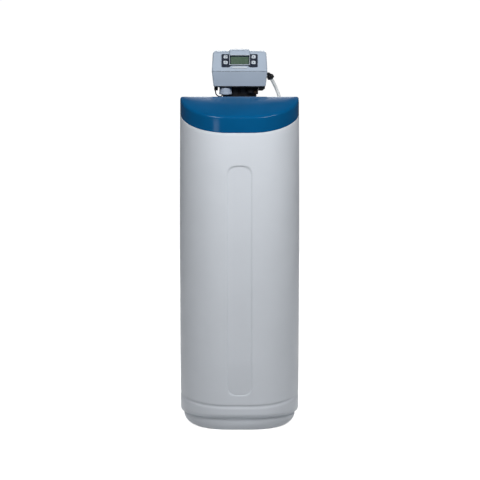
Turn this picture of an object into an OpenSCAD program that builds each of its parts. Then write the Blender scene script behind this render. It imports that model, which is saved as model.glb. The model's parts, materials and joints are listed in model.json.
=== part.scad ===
// Cabinet water softener: salt cabinet with its lid, resin tank, control valve and head, brine pickup.
// Millimetres, +Z up, front towards -Y. The origin lies on the floor under the middle of the whole part.

/* [Cabinet] */
// Width of the cabinet
cab_w = 345; // [335:1:370]
// Depth of the cabinet, from its front face to its rear wall
cab_d = 472; // [462:1:520]
// Radius of the two front corners
front_r = 141; // [130:1:150]
// Radius of the two rear corners
back_r = 40; // [30:1:60]
// Thickness of the cabinet wall
wall = 4; // [3:0.5:5]
// Height of the cabinet floor
floor_z = 14; // [12:0.5:18]
// Height of the level rim behind the lid
rim_z = 906; // [898:1:918]
// Height of the thick ledge under the rim
ledge_h = 18; // [12:1:30]

/* [Plinth and bands] */
// Height of the plinth
plinth_h = 37.5; // [30:0.5:45]
// Setback of the plinth from the wall
plinth_in = 14; // [10:1:16]
// Radius of the plinth's lower edge
plinth_r = 22; // [12:1:28]
// Height of the upper groove at the front
band_z = 72.5; // [60:0.5:90]
// Rise of the upper groove towards the sides, in degrees
band_slope = 9.5; // [6:0.5:12]
// Height of the grooves
groove_h = 5; // [3:0.5:8]
// Depth of the grooves
groove_d = 2; // [1:0.25:2.5]

/* [Front strip] */
// Width of the recessed strip
strip_w = 72; // [50:1:90]
// Lower end of the strip
strip_bottom = 102; // [95:1:200]
// Upper end of the strip
strip_top = 768; // [600:1:800]
// Corner radius of the strip
strip_r = 26; // [10:1:34]
// Depth of the strip
strip_d = 3; // [1:0.5:4]

/* [Lid] */
// Height of the lid's side
lid_h = 47; // [38:1:60]
// Thickness of the lid
lid_t = 3; // [2:0.5:4]
// Setback of the lid from the cabinet wall
lid_in = 1.5; // [0.5:0.5:3]
// Radius of the lid's upper edge
lid_r = 12; // [6:1:16]
// Slope of the lid and of the rim under it, in degrees
lid_slope = 17.5; // [14:0.5:20]
// Height of the lip that the lid fits over
lip_h = 10; // [5:1:15]
// Thickness of the lip
lip_t = 3; // [2:0.5:4]
// Gap between lid and lip
lip_gap = 0.7; // [0.5:0.1:1.5]

/* [Lid hinge] */
// Radius of the hinge pins
pin_r = 3; // [2:0.25:4]
// Radius of the hinge barrels
barrel_r = 6; // [5:0.25:7]
// Distance of each hinge from the middle
hinge_x = 95; // [70:1:120]
// Width of the lid's hinge barrels
knuckle_w = 20; // [14:1:30]
// Width of the ears on the deck
ear_w = 5.5; // [4:0.5:8]

/* [Rear deck] */
// Thickness of the rear deck
deck_t = 5; // [4:0.5:6]
// Radius of the deck's opening round the valve
deck_hole_r = 66; // [58:1:75]
// Distance of the tube grommet from the cabinet's side
grommet_side = 53.5; // [45:0.5:60]
// Distance of the tube grommet ahead of the valve's axis
grommet_fwd = 54; // [45:1:60]
// Outer radius of the grommet
grommet_r = 12; // [10:0.5:15]
// Radius of the case screws
screw_r = 1.6; // [1.2:0.1:2]

/* [Resin tank] */
// Diameter of the resin tank
tank_d = 254; // [240:1:256]
// Height of the resin tank over the cabinet floor, with its neck
tank_h = 889; // [880:1:900]
// Thickness of the tank wall
tank_wall = 5; // [3:0.5:7]
// Rise of the tank's domed ends
dome_h = 62; // [50:1:75]
// Radius of the tank neck
neck_r = 48; // [44:1:52]
// Radius of the thread in the tank neck
thread_r = 36.5; // [34:0.5:38]
// Height of the tank foot
foot_h = 40; // [30:1:60]
// Height of the resin bed's top over the floor
resin_top = 560; // [400:5:700]
// Radius of the riser tube
riser_r = 13.35; // [12:0.05:14]
// Radius of the strainer baskets
basket_r = 25; // [22:0.5:26]

/* [Valve] */
// Radius of the tank adapter
adapter_r = 52; // [50:1:56]
// Height of the tank adapter over the tank
adapter_h = 36; // [30:1:42]
// Height of the bare valve neck between adapter and head
neck_h = 33; // [30:1:45]
// Radius of the valve neck
valve_r = 40; // [38:0.5:43]
// Height of the piston's axis over the head's underside
piston_up = 36; // [36:0.5:40]
// Radius of the piston housing
housing_r = 33; // [31:0.5:34]
// Radius of the bore in the piston housing
bore_r = 25; // [23:0.5:27]
// Length of the piston housing
housing_l = 100; // [92:1:104]
// Radius of the piston
piston_r = 16; // [13:0.5:18]
// Radius of the piston rod
rod_r = 5; // [4:0.25:6]
// Travel of the piston
stroke = 24; // [16:1:24]
// Radius of the inlet and outlet ports
port_r = 20; // [18:0.5:21]
// Distance of each port from the middle
port_x = 38; // [36:0.5:42]
// Outer radius of the pipe connectors' thread
pipe_r = 16.6; // [13:0.1:17.5]
// Bore radius of the pipe connectors
pipe_bore_r = 12.5; // [9:0.5:13]
// Free length of the pipe connectors
pipe_l = 48; // [30:1:60]
// Radius of the drain spigot
drain_r = 6.5; // [5:0.25:8]
// Free length of the drain spigot
drain_l = 49; // [30:1:60]
// Radius of the meter cup
meter_r = 18; // [16:0.5:19]
// Height of the meter cup
meter_h = 23; // [20:0.5:26]

/* [Drive] */
// Gear module
gear_m = 1.2; // [1:0.05:1.25]
// Teeth of the drive gear
drive_n = 48; // [44:1:48]
// Teeth of the idler gear
idler_n = 36; // [32:1:36]
// Teeth of the motor pinion
pinion_n = 14; // [13:1:16]
// Thickness of the gears
gear_t = 6; // [4:0.5:6]
// Radius of the drive motor
motor_r = 14; // [10:0.5:15]
// Length of the drive motor
motor_l = 42; // [25:1:48]

/* [Head] */
// Width of the head at its front ridge
head_w = 162; // [158:1:172]
// Width of the head at its top
head_top_w = 155; // [148:1:162]
// Width of the head at its underside
head_low_w = 152; // [150:1:160]
// Depth of the head behind its ridge
head_d = 154; // [150:1:162]
// Distance of the ridge ahead of the valve's axis
ridge_fwd = 76; // [74:1:80]
// Height of the ridge over the head's underside
ridge_up = 44; // [43:0.5:50]
// Setback of the lower front edge behind the ridge
chin = 10; // [4:1:12]
// Lean of the display panel, in degrees
panel_tilt = 23.2; // [20:0.1:26]
// Length of the flat display panel
panel_l = 55; // [54:0.5:60]
// Thickness of the head's covers
cover_t = 2.5; // [2:0.25:3]
// Gap between the head's covers
seam = 0.6; // [0.3:0.1:1]
// Thickness of the head tray
tray_t = 4; // [3:0.5:4.5]

/* [Display and buttons] */
// Width of the display window
window_w = 53; // [40:1:54]
// Height of the display window
window_h = 24.5; // [18:0.5:25]
// Height of the display window's lower edge on the panel
window_v = 21.5; // [20:0.5:23]
// Width of the display hood
hood_w = 60; // [59:1:64]
// Rise of the display hood over the panel
hood_t = 5; // [4:0.5:7]
// Rise of the display hood over the head's top
hood_up = 5; // [3:0.5:8]
// Width of the keypad panel
keypad_w = 103; // [100:1:112]
// Height of the keypad panel
keypad_h = 40; // [38:0.5:42]
// Thickness of the keypad panel
keypad_t = 1.2; // [0.6:0.1:2]
// Width of the buttons
button_w = 12; // [8:0.5:13]
// Height of the buttons
button_h = 10.5; // [7:0.5:11.5]
// Distance of the buttons from the middle
button_x = 40.6; // [40:0.1:42]
// Distance between the upper and lower buttons
button_gap = 17.2; // [16:0.1:18]
// Travel of the buttons
button_travel = 1; // [0.5:0.1:1]

/* [Brine pickup] */
// Radius of the brine tube
tube_r = 4.7; // [4:0.05:4.8]
// Radius of the brine nut
brine_nut_r = 10.5; // [9:0.5:12]
// Angle of the brine nut below level, in degrees
nut_tilt = 62; // [50:1:75]
// Radius of the brine well
well_r = 38; // [34:0.5:40]
// Height of the brine well
well_h = 770; // [700:5:780]
// Thickness of the brine well's wall
well_wall = 2.5; // [1.5:0.5:4]
// Gap round the brine well
well_gap = 5; // [3:0.5:8]
// Radius of the brine float
float_r = 22; // [18:0.5:26]
// Height of the brine float
float_h = 60; // [40:1:80]
// Height of the float's lower end over the floor
float_up = 554; // [400:1:560]
// Travel of the float
float_travel = 30; // [15:1:32]
// Radius of the check ball
ball_r = 6; // [5:0.25:6.5]
// Rise of the check ball
ball_travel = 6; // [3:0.5:7]

/* [Overflow] */
// Radius of the overflow spigot
spigot_r = 8; // [6:0.5:9]
// Free length of the overflow spigot
spigot_l = 21; // [15:1:30]
// Height of the overflow spigot
spigot_z = 700; // [500:5:800]
// Distance of the overflow spigot from the cabinet's side
spigot_side = 62.5; // [58:0.5:110]

/* [Hidden] */
$fn = 64;

// Clearances of fixed and of running fits
fit = 0.3;
run = 0.05;

// Colours
white_pe = [0.84, 0.86, 0.89];
lid_blue = [0.0, 0.27, 0.46];
head_grey = [0.66, 0.72, 0.79];
noryl = [0.07, 0.07, 0.08];
rubber = [0.05, 0.05, 0.05];
cap_grey = [0.70, 0.75, 0.82];
natural_pe = [0.88, 0.89, 0.88];
vessel_blue = [0.10, 0.28, 0.48];
resin_amber = [0.62, 0.42, 0.14];
pcb_green = [0.05, 0.33, 0.16];
screen_green = [0.30, 0.40, 0.32];
overlay_navy = [0.10, 0.13, 0.19];
key_grey = [0.74, 0.78, 0.82];
zinc = [0.72, 0.72, 0.74];
piston_grey = [0.55, 0.57, 0.60];
refill_brown = [0.20, 0.15, 0.12];

// Plan of the cabinet
gasket_t = 2;
spigot_flange_t = 5;
spigot_out = gasket_t + spigot_flange_t + spigot_l;
spigot_x = cab_w / 2 - spigot_side;
y_front = -(cab_d + spigot_out) / 2;
y_back = y_front + cab_d;
hinge_y = y_front + front_r;
lip_in = lid_in + lid_t + lip_gap;
ledge_in = lip_in + lip_t;
lip_back = lid_t + 3;
far = 2 * (cab_w + cab_d + rim_z);

// Tank and valve axis
foot_gap = 1;
foot_t = 4;
foot_r = tank_d / 2 + 2;
tank_r = tank_d / 2;
tank_y = y_back - plinth_in - wall - foot_gap - foot_r;
tank_low = floor_z + foot_t;
tank_top = floor_z + tank_h;
adapter_top = tank_top + adapter_h;
head_z = adapter_top + neck_h;

// Deck and hinge axis
deck_z = rim_z + deck_t;
axis_y = hinge_y + barrel_r + 2;
axis_z = deck_z + barrel_r + 3;
tongue = 19;
grommet_x = cab_w / 2 - grommet_side;
grommet_y = tank_y - grommet_fwd;

// Valve, in the valve frame: origin on the tank's axis at the head's underside
body_front = -28;
body_back = body_front + housing_l;
end_wall = 6;
cap_flange_t = 6;
cap_plug = 8;
bracket_t = 3;
bracket_y = body_front - cap_flange_t - bracket_t;
gear_gap = 0.5;
gear_back = bracket_y - gear_gap;
gear_front = gear_back - gear_t;
hub_r = 10;
stack_r = bore_r - fit;
port_z = 13;
port_start = 26;
port_end = port_start + 78;
bypass_r = 13;
meter_x = -41;
meter_y = -43;
meter_z = -5 - meter_h;
boss_r = meter_r - 2.6;
boss_top = 7;
bracket_low = boss_top + 1;
waist_r = -body_front - 1;
brine_y = -12;
brine_z = 33;
spigot_seat = 46;
elbow_x = head_w / 2 + 3;
drain_flange_r = drain_r + 4.5;

// Gear train: idler above left of the drive gear, pinion below left of the idler
idler_angle = 150;
pinion_angle = 250;
drive_r = gear_m * drive_n / 2;
idler_r = gear_m * idler_n / 2;
pinion_r = gear_m * pinion_n / 2;
idler_at = (drive_r + idler_r) * [cos(idler_angle), sin(idler_angle)] + [0, piston_up];
pinion_at = idler_at + (idler_r + pinion_r) * [cos(pinion_angle), sin(pinion_angle)];
idler_phase = idler_angle + 180 + 180 / idler_n;
mesh_turns = (pinion_angle - idler_phase) * idler_n / 360;
pinion_phase = pinion_angle + 180 + (mesh_turns + 0.5) * 360 / pinion_n;
axle_r = 2.5;
shaft_r = 1.5;
tooth_play = 0.24;

// Head: corners of its form, as radius, half width, depth and height
ridge_y = -ridge_fwd;
back_y = ridge_y + head_d;
split_y = 21;
drain_flange_t = back_y - body_back + 1;
function panel_yz(v, n) = [
  ridge_y + v * sin(panel_tilt) - n * cos(panel_tilt),
  ridge_up + v * cos(panel_tilt) + n * sin(panel_tilt)
];
soft_r = 9;
edge_r = 4;
rear_r = 6;
rear_drop = 6;
head_top = panel_yz(panel_l, -soft_r)[1] + soft_r;
front_ridge = panel_yz(3, -edge_r);
front_top = panel_yz(panel_l, -soft_r);

// Panel places, measured up the panel from the ridge
keypad_v = 12.3;
hood_v = window_v - 2.5;
screen_edge = 1.5;
screen_t = 2;
screen_lip = 1.5;
button_v = window_v + window_h / 2 + 1.3;
board_n = -10.4;
board_t = 1.6;
post_x = keypad_w / 2 - 8;
post_r = 1.8;

// Brine well beside the tank, with equal gaps to the tank foot and the plinth's wall
well_x = cab_w / 2 - plinth_in - wall - well_gap - well_r;
well_y = tank_y - sqrt(pow(foot_r + well_gap + well_r, 2) - well_x * well_x);
well_top = floor_z + well_h;
well_cap_t = 4;
stem_top = well_top + well_cap_t + 20;
pickup_x = -9;
pickup_r = 5;
float_rod_x = 8;
float_rod_r = 2;
float_z = floor_z + float_up;
valve_low = well_top - 76;
valve_high = well_top - 28;
cage_z = floor_z + 4;
cage_seat = 10;
cage_h = 42;
seat_r = 4;
ball_rest = cage_z + cage_seat + sqrt(ball_r * ball_r - seat_r * seat_r) + 0.1;

// Sensor cable from the tray's tab to the meter cup, in the valve frame
cable_r = 1.3;
cable_route = [
  [-70, -48, -14.3], [-70, -48.5, -18], [-69.5, -49.5, -23], [-67.5, -50.5, -28], [-63.5, -51, -32],
  [-58.5, -50, -34.5], [-54, -48, -34.2], [-51.5, -46.5, -32.2], [-51, -46, -30], [-51, -46, -28.3]
];

// Frames and directions
module at_valve() { translate([0, tank_y, head_z]) children(); }
module at_tank() { translate([0, tank_y, 0]) children(); }
module at_well() { translate([well_x, well_y, 0]) children(); }
module on_panel() {
  at_valve() translate([0, ridge_y, ridge_up]) rotate([90 - panel_tilt, 0, 0]) children();
}
module along_x() { rotate([0, 90, 0]) children(); }
module along_y() { rotate([-90, 0, 0]) children(); }
module both_sides() {
  children();
  mirror([1, 0, 0]) children();
}
module slab_y(from, to) { translate([0, to, 0]) rotate([90, 0, 0]) linear_extrude(to - from) children(); }
module block(low, high) { translate(low) cube(high - low); }
module ring(r_out, r_in, h) {
  difference() {
    cylinder(r = r_out, h = h);
    translate([0, 0, -1]) cylinder(r = r_in, h = h + 2);
  }
}
module rounded(w, h, r) {
  translate([-w / 2 + r, -h / 2]) square([w - 2 * r, h]);
  translate([-w / 2, -h / 2 + r]) square([w, h - 2 * r]);
  for (sx = [-1, 1]) for (sy = [-1, 1]) translate([sx * (w / 2 - r), sy * (h / 2 - r)]) circle(r = r);
}

// Cabinet plan, drawn in by an inset
module plan(inset) {
  half = cab_w / 2 - inset;
  rf = front_r - inset;
  rb = max(back_r - inset, 1);
  low = y_front + inset;
  high = y_back - inset;
  translate([-half, low + rf]) square([2 * half, high - rb - low - rf]);
  translate([rf - half, low]) square([2 * (half - rf), rf + 1]);
  translate([rb - half, high - rb - 1]) square([2 * (half - rb), rb + 1]);
  for (side = [-1, 1]) {
    translate([side * (half - rf), low + rf]) circle(r = rf);
    translate([side * (half - rb), high - rb]) circle(r = rb);
  }
}

// Points round the same plan, and points lifted onto a plane that slopes from the hinge line
function corner_arc(x, y, r, from, steps) =
  [for (k = [0 : steps]) let (a = from + 90 * k / steps) [x + r * cos(a), y + r * sin(a)]];
function front_arcs(inset) = let (x = cab_w / 2 - front_r, y = y_front + front_r, r = front_r - inset)
  concat(corner_arc(-x, y, r, 180, 16), corner_arc(x, y, r, 270, 16));
function rear_arcs(inset) =
  let (r = max(back_r - inset, 1), x = cab_w / 2 - inset - r, y = y_back - inset - r)
  concat(corner_arc(x, y, r, 0, 8), corner_arc(-x, y, r, 90, 8));
function plan_ring(inset) = concat(front_arcs(inset), rear_arcs(inset));
function lifted(points, z, slope) = [for (p = points) [p[0], p[1], z + (p[1] - hinge_y) * tan(slope)]];

// Everything below a level plane that slopes down towards the front from the hinge line
module under(z, slope) {
  intersection() {
    translate([-far / 2, -far / 2, -far]) cube([far, far, far + z]);
    translate([0, hinge_y, z]) rotate([slope, 0, 0]) translate([-far / 2, -far / 2, -far]) cube(far);
  }
}
// Closed solid through a stack of rings that have as many points each
module loft(rings) {
  n = len(rings[0]);
  last = (len(rings) - 1) * n;
  walls = [
    for (i = [0 : len(rings) - 2]) for (k = [0 : n - 1])
      let (a = i * n + k, b = i * n + (k + 1) % n) each [[a, b + n, b], [a, a + n, b + n]]
  ];
  ends = [for (k = [1 : n - 2]) each [[0, k, k + 1], [last, last + k + 1, last + k]]];
  polyhedron(points = [for (ring = rings) each ring], faces = concat(walls, ends));
}

// Sweep of a round section along points, as one closed tube
function unit(v) = v / norm(v);
function way(p, i) = unit(p[min(i + 1, len(p) - 1)] - p[max(i - 1, 0)]);
function side_of(d) = unit(cross(d, abs(d[2]) > 0.9 ? [0, 1, 0] : [0, 0, 1]));
function carry(p, i, s) = unit(s - (s * way(p, i)) * way(p, i));
function frames(p, i = 0, s = undef) =
  i >= len(p) ? [] :
  let (here = carry(p, i, s == undef ? side_of(way(p, 0)) : s)) concat([here], frames(p, i + 1, here));
module sweep(p, r, sides) {
  sets = frames(p);
  loft([
    for (i = [0 : len(p) - 1]) [
      for (k = [0 : sides - 1])
        let (a = 360 * k / sides, u = sets[i], w = cross(way(p, i), u)) p[i] + r * (cos(a) * u + sin(a) * w)
    ]
  ]);
}
function hermite(a, ta, b, tb, t) =
  (2 * t * t * t - 3 * t * t + 1) * a + (t * t * t - 2 * t * t + t) * ta
  + (3 * t * t - 2 * t * t * t) * b + (t * t * t - t * t) * tb;

// Involute gear outline with a tooth centred on the X axis
function involute(a) = tan(a) * 180 / PI - a;
module gear_outline(n) {
  pressure = 20;
  rp = gear_m * n / 2;
  rb = rp * cos(pressure);
  tip = rp + 0.88 * gear_m;
  root = rp - 1.2 * gear_m;
  steps = 4;
  radii = [for (k = [0 : steps]) max(root, rb) + (tip - max(root, rb)) * k / steps];
  spare = 90 * tooth_play / (PI * rp);
  half = [for (r = radii) 90 / n - spare + involute(pressure) - involute(acos(min(1, rb / r)))];
  polygon([
    for (i = [0 : n - 1]) let (c = 360 * i / n) each concat(
      root < rb ? [root * [cos(c - half[0]), sin(c - half[0])]] : [],
      [for (k = [0 : steps]) radii[k] * [cos(c - half[k]), sin(c - half[k])]],
      [for (k = [steps : -1 : 0]) radii[k] * [cos(c + half[k]), sin(c + half[k])]],
      root < rb ? [root * [cos(c + half[0]), sin(c + half[0])]] : []
    )
  ]);
}

// Cabinet: walls, plinth, rim with the lip for the lid, grooves and recessed strip
plinth_edge = min(plinth_r, 1.6 * floor_z);
recess_in = plinth_in + plinth_edge + 20;
recess_h = floor_z - 6;
band_rim = band_z + front_r * tan(band_slope);
screw_in = (lid_in + ledge_in) / 2;
screw_l = 14;
deck_screws = [
  for (side = [-1, 1]) for (y = [hinge_y + 30, tank_y, y_back - back_r])
    [side * (cab_w / 2 - screw_in), y]
];
module plinth_form() {
  steps = 6;
  loft(concat(
    [for (k = [0 : steps]) let (a = 90 * k / steps)
      lifted(plan_ring(plinth_in + plinth_edge * (1 - sin(a))), plinth_edge * (1 - cos(a)), 0)],
    [lifted(plan_ring(plinth_in), plinth_h + 1, 0)]
  ));
}
module cabinet_form() {
  plinth_form();
  intersection() {
    translate([0, 0, plinth_h]) linear_extrude(rim_z) plan(0);
    under(rim_z, lid_slope);
  }
  intersection() {
    translate([0, 0, plinth_h]) linear_extrude(rim_z) plan(lip_in);
    under(rim_z + lip_h, lid_slope);
    translate([-far / 2, y_front, 0]) cube([far, front_r - lip_back, far]);
  }
}
module cabinet_cavity() {
  translate([0, 0, floor_z]) linear_extrude(plinth_h + wall - floor_z + 1) plan(plinth_in + wall);
  intersection() {
    translate([0, 0, plinth_h + wall]) linear_extrude(rim_z) plan(wall);
    under(rim_z - ledge_h, lid_slope);
  }
  translate([0, 0, plinth_h + wall]) linear_extrude(rim_z) plan(ledge_in);
}
module strip_form(grow, from, to) {
  h = strip_top - strip_bottom;
  intersection() {
    translate([0, 0, strip_bottom + h / 2])
      slab_y(y_front - 2, y_front + front_r) rounded(strip_w + 2 * grow, h + 2 * grow, strip_r + grow);
    linear_extrude(rim_z) difference() {
      plan(from);
      plan(to);
    }
  }
}
module band_groove() {
  intersection() {
    linear_extrude(rim_z) difference() {
      plan(-1);
      plan(groove_d);
    }
    difference() {
      under(band_rim + groove_h / 2, band_slope);
      under(band_rim - groove_h / 2, band_slope);
    }
  }
}
module cabinet() {
  color(white_pe) difference() {
    union() {
      difference() {
        cabinet_form();
        cabinet_cavity();
      }
      strip_form(wall, wall - 0.5, wall + strip_d);
    }
    strip_form(0, -1, strip_d);
    band_groove();
    translate([0, 0, -1]) linear_extrude(recess_h + 1) plan(recess_in);
    for (at = deck_screws)
      translate([at[0], at[1], rim_z - screw_l]) cylinder(r = screw_r + run, h = screw_l + 1);
    translate([-spigot_x, y_back - wall - 1, spigot_z])
      along_y() cylinder(r = spigot_r + 2 + fit, h = wall + 2);
  }
}

// Lid: a D-shaped cover of constant height on the sloping rim, with two hinge barrels behind
function lid_ring(inset, back) = [
  for (p = front_arcs(inset)) [p[0], min(p[1], hinge_y - back)]
];
module lid_form(inset, low, high, r, back) {
  steps = 6;
  loft(concat(
    [lifted(lid_ring(inset, back), low, lid_slope)],
    [for (k = [0 : steps]) let (a = 90 * k / steps)
      lifted(lid_ring(inset + r * (1 - cos(a)), back), high - r * (1 - sin(a)), lid_slope)]
  ));
}
module hinge_bores(length) {
  for (side = [-1, 1])
    translate([side * hinge_x - length / 2, axis_y, axis_z]) along_x() cylinder(r = pin_r + run, h = length);
}
ear_gap = 0.5;
hinge_l = knuckle_w + 2 * (ear_gap + ear_w) + 2;
module salt_lid() {
  inner = cab_w / 2 - lid_in - lid_t;
  color(lid_blue) difference() {
    union() {
      difference() {
        lid_form(lid_in, rim_z + fit, rim_z + lid_h, lid_r, 0);
        lid_form(lid_in + lid_t, rim_z - lid_t, rim_z + lid_h - lid_t, max(lid_r - lid_t, 1), lid_t);
        block([-inner, hinge_y - lid_t - 1, rim_z - tongue], [inner, hinge_y + 1, deck_z + 1]);
      }
      for (side = [-1, 1]) translate([side * hinge_x - knuckle_w / 2, 0, 0]) {
        translate([0, axis_y, axis_z]) along_x() cylinder(r = barrel_r, h = knuckle_w);
        block([0, hinge_y - lid_t / 2, axis_z - barrel_r / 2], [knuckle_w, axis_y, axis_z + barrel_r - 1]);
      }
    }
    hinge_bores(hinge_l);
  }
}
module hinge_pins() {
  color(zinc) for (side = [-1, 1])
    translate([side * hinge_x - hinge_l / 2, axis_y, axis_z]) along_x() cylinder(r = pin_r, h = hinge_l);
}

// Rear deck: fixed cover behind the lid, with an opening for the valve, hinge ears and a rib inside the rim
module deck_plan() {
  intersection() {
    plan(lid_in);
    translate([-cab_w, hinge_y + fit]) square([2 * cab_w, cab_d]);
  }
  intersection() {
    plan(ledge_in + fit);
    translate([-cab_w, hinge_y - tongue]) square([2 * cab_w, tongue + 1]);
  }
}
module rear_deck() {
  rib_h = 8;
  collar_t = 3;
  color(lid_blue) difference() {
    union() {
      translate([0, 0, rim_z]) linear_extrude(deck_t) deck_plan();
      translate([0, 0, rim_z - rib_h]) linear_extrude(rib_h + 1) difference() {
        intersection() {
          plan(ledge_in + fit);
          translate([-cab_w, hinge_y + tongue]) square([2 * cab_w, cab_d]);
        }
        plan(ledge_in + fit + collar_t);
      }
      at_tank() translate([0, 0, deck_z - 1]) cylinder(r = deck_hole_r + collar_t, h = collar_t + 1);
      for (side = [-1, 1]) for (end = [-1, 1])
        translate([side * hinge_x + end * (knuckle_w / 2 + ear_gap + ear_w / 2) - ear_w / 2, 0, 0]) {
          translate([0, axis_y, axis_z]) along_x() cylinder(r = barrel_r, h = ear_w);
          block([0, axis_y - barrel_r + 0.5, deck_z - 1], [ear_w, axis_y + barrel_r - 0.5, axis_z]);
        }
    }
    at_tank() translate([0, 0, rim_z - 1]) cylinder(r = deck_hole_r, h = deck_t + collar_t + 2);
    translate([grommet_x, grommet_y, rim_z - 1]) cylinder(r = grommet_r - 2, h = deck_t + 2);
    for (at = deck_screws) translate([at[0], at[1], rim_z - 1]) cylinder(r = screw_r + run, h = deck_t + 2);
    hinge_bores(hinge_l);
  }
}
module screw() {
  translate([0, 0, -screw_l]) cylinder(r = screw_r, h = screw_l);
  difference() {
    cylinder(r = 2 * screw_r, h = 2);
    translate([0, 0, 1]) cylinder(r = screw_r, h = 2, $fn = 6);
  }
}
module case_screws() {
  color(zinc) {
    for (at = deck_screws) translate([at[0], at[1], deck_z]) screw();
    for (at = rear_screws) at_valve() translate([at[0], back_y, at[1]]) along_y() screw();
  }
}
module tube_grommet() {
  lip = 2;
  color(rubber) translate([grommet_x, grommet_y, rim_z]) rotate_extrude() polygon([
    [tube_r + 1.5, -lip], [grommet_r, -lip], [grommet_r, 0], [grommet_r - lip, 0],
    [grommet_r - lip, deck_t], [grommet_r, deck_t], [grommet_r - 1, deck_t + lip],
    [tube_r + 1.5, deck_t + lip]
  ]);
}

// Overflow spigot through the rear wall
thread_out = spigot_r + 2;
flange_r = spigot_r + 8;
module overflow_spigot() {
  inside = 14;
  color(noryl) translate([-spigot_x, y_back, spigot_z]) along_y() difference() {
    union() {
      translate([0, 0, -inside]) cylinder(r = thread_out, h = inside + gasket_t + 1);
      translate([0, 0, gasket_t]) cylinder(r = flange_r, h = spigot_flange_t, $fn = 6);
      cylinder(r = spigot_r, h = spigot_out);
    }
    translate([0, 0, -inside - 1]) cylinder(r = spigot_r - 2.5, h = inside + spigot_out + 2);
  }
}
module overflow_gasket() {
  color(rubber) translate([-spigot_x, y_back, spigot_z]) along_y() ring(flange_r, thread_out + run, gasket_t);
}
module overflow_nut() {
  nut_t = 7;
  color(noryl) translate([-spigot_x, y_back - wall - nut_t, spigot_z]) along_y() difference() {
    cylinder(r = flange_r, h = nut_t, $fn = 6);
    translate([0, 0, -1]) cylinder(r = thread_out + run, h = nut_t + 2);
  }
}

// Resin tank: a vessel with domed ends and a threaded neck
neck_l = 28;
inner_r = tank_r - tank_wall;
inner_h = dome_h - tank_wall;
shoulder_z = tank_top - neck_l - dome_h * sin(acos(neck_r / tank_r));
function arc(r, h, z, from, to, steps) =
  [for (k = [0 : steps]) let (a = from + (to - from) * k / steps) [r * cos(a), z + h * sin(a)]];
module vessel(r, h, mouth_r, top) {
  mouth = acos(mouth_r / r);
  rotate_extrude() polygon(concat(
    [[0, tank_low + dome_h - h]],
    arc(r, h, tank_low + dome_h, -80, 0, 8),
    arc(r, h, shoulder_z, 0, mouth, 8),
    [[mouth_r, top], [0, top]]
  ));
}
module tank_shell() {
  color(vessel_blue) at_tank() difference() {
    vessel(tank_r, dome_h, neck_r, tank_top);
    vessel(inner_r, inner_h, thread_r, tank_top + 1);
  }
}
module tank_foot() {
  color(noryl) at_tank() difference() {
    translate([0, 0, floor_z]) cylinder(r = foot_r, h = foot_h);
    translate([0, 0, floor_z + foot_t]) vessel_seat();
    translate([0, 0, floor_z - 1]) cylinder(r = foot_r / 2, h = foot_t + 2);
  }
}
module vessel_seat() {
  rotate_extrude() polygon(concat(
    [[0, -fit]],
    arc(tank_r + fit, dome_h + fit, dome_h, -80, 0, 8),
    [[tank_r + fit, dome_h + foot_h], [0, dome_h + foot_h]]
  ));
}
basket_low = tank_low + dome_h - inner_h * sqrt(1 - pow(basket_r / inner_r, 2)) + fit;
basket_h = 58;
basket_grip = 20;
module resin_bed() {
  color(resin_amber) at_tank() difference() {
    rotate_extrude() polygon(concat(
      [[0, tank_low + dome_h - inner_h + fit]],
      arc(inner_r - fit, inner_h - fit, tank_low + dome_h, -80, 0, 8),
      [[inner_r - fit, floor_z + resin_top], [0, floor_z + resin_top]]
    ));
    cylinder(r = basket_r + fit, h = basket_low + basket_h + fit);
    cylinder(r = riser_r + fit, h = floor_z + resin_top + 1);
  }
}
riser_low = basket_low + basket_h - basket_grip;
riser_up = 6;
module riser_tube() {
  top = adapter_top + riser_up;
  color(natural_pe) at_tank() translate([0, 0, riser_low]) ring(riser_r, riser_r - 2.8, top - riser_low);
}
module basket_slots(low, h, count) {
  for (k = [0 : count - 1])
    rotate([0, 0, 360 * k / count]) block([basket_r / 2, -1, low], [basket_r + 5, 1, low + h]);
}
module lower_distributor() {
  skin = 3;
  color(natural_pe) at_tank() difference() {
    translate([0, 0, basket_low]) cylinder(r = basket_r, h = basket_h);
    translate([0, 0, basket_low + skin]) cylinder(r = basket_r - skin, h = basket_h - basket_grip - 2 * skin);
    translate([0, 0, riser_low]) cylinder(r = riser_r + run, h = basket_grip + 1);
    translate([0, 0, riser_low - 2 * skin]) cylinder(r = riser_r - skin, h = 3 * skin);
    basket_slots(basket_low + 2 * skin, basket_h - basket_grip - 5 * skin, 12);
  }
}
plug_r = thread_r - 6.8;
plug_h = 14;
module upper_distributor() {
  basket_l = 75;
  top = adapter_top - plug_h;
  color(natural_pe) at_tank() difference() {
    translate([0, 0, top - basket_l]) ring(basket_r + 1, riser_r + 3.65, basket_l);
    basket_slots(top - basket_l + 5, basket_l / 2, 12);
  }
}

// Tank adapter: threaded into the neck, with a grip rim, and its seal on the neck
seal_r = (neck_r + thread_r) / 2;
module tank_adapter() {
  grips = 20;
  screwed = 27;
  color(noryl) at_tank() difference() {
    union() {
      translate([0, 0, tank_top - screwed]) cylinder(r = thread_r - fit, h = screwed + 1);
      translate([0, 0, tank_top]) cylinder(r = adapter_r, h = adapter_h);
    }
    translate([0, 0, tank_top - screwed - 1]) cylinder(r = plug_r + fit, h = screwed + adapter_h + 2);
    translate([0, 0, tank_top - 1]) ring(seal_r + 2.6, seal_r - 2.6, 5.5);
    for (k = [0 : grips - 1]) rotate([0, 0, 360 * (k + 0.5) / grips])
      translate([adapter_r + 3, 0, tank_top - 1]) cylinder(r = 5, h = adapter_h - 7);
  }
}
module adapter_seal() {
  color(rubber) at_tank() translate([0, 0, tank_top + 2.25])
    rotate_extrude() translate([seal_r, 0]) circle(r = 2.2);
}

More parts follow.
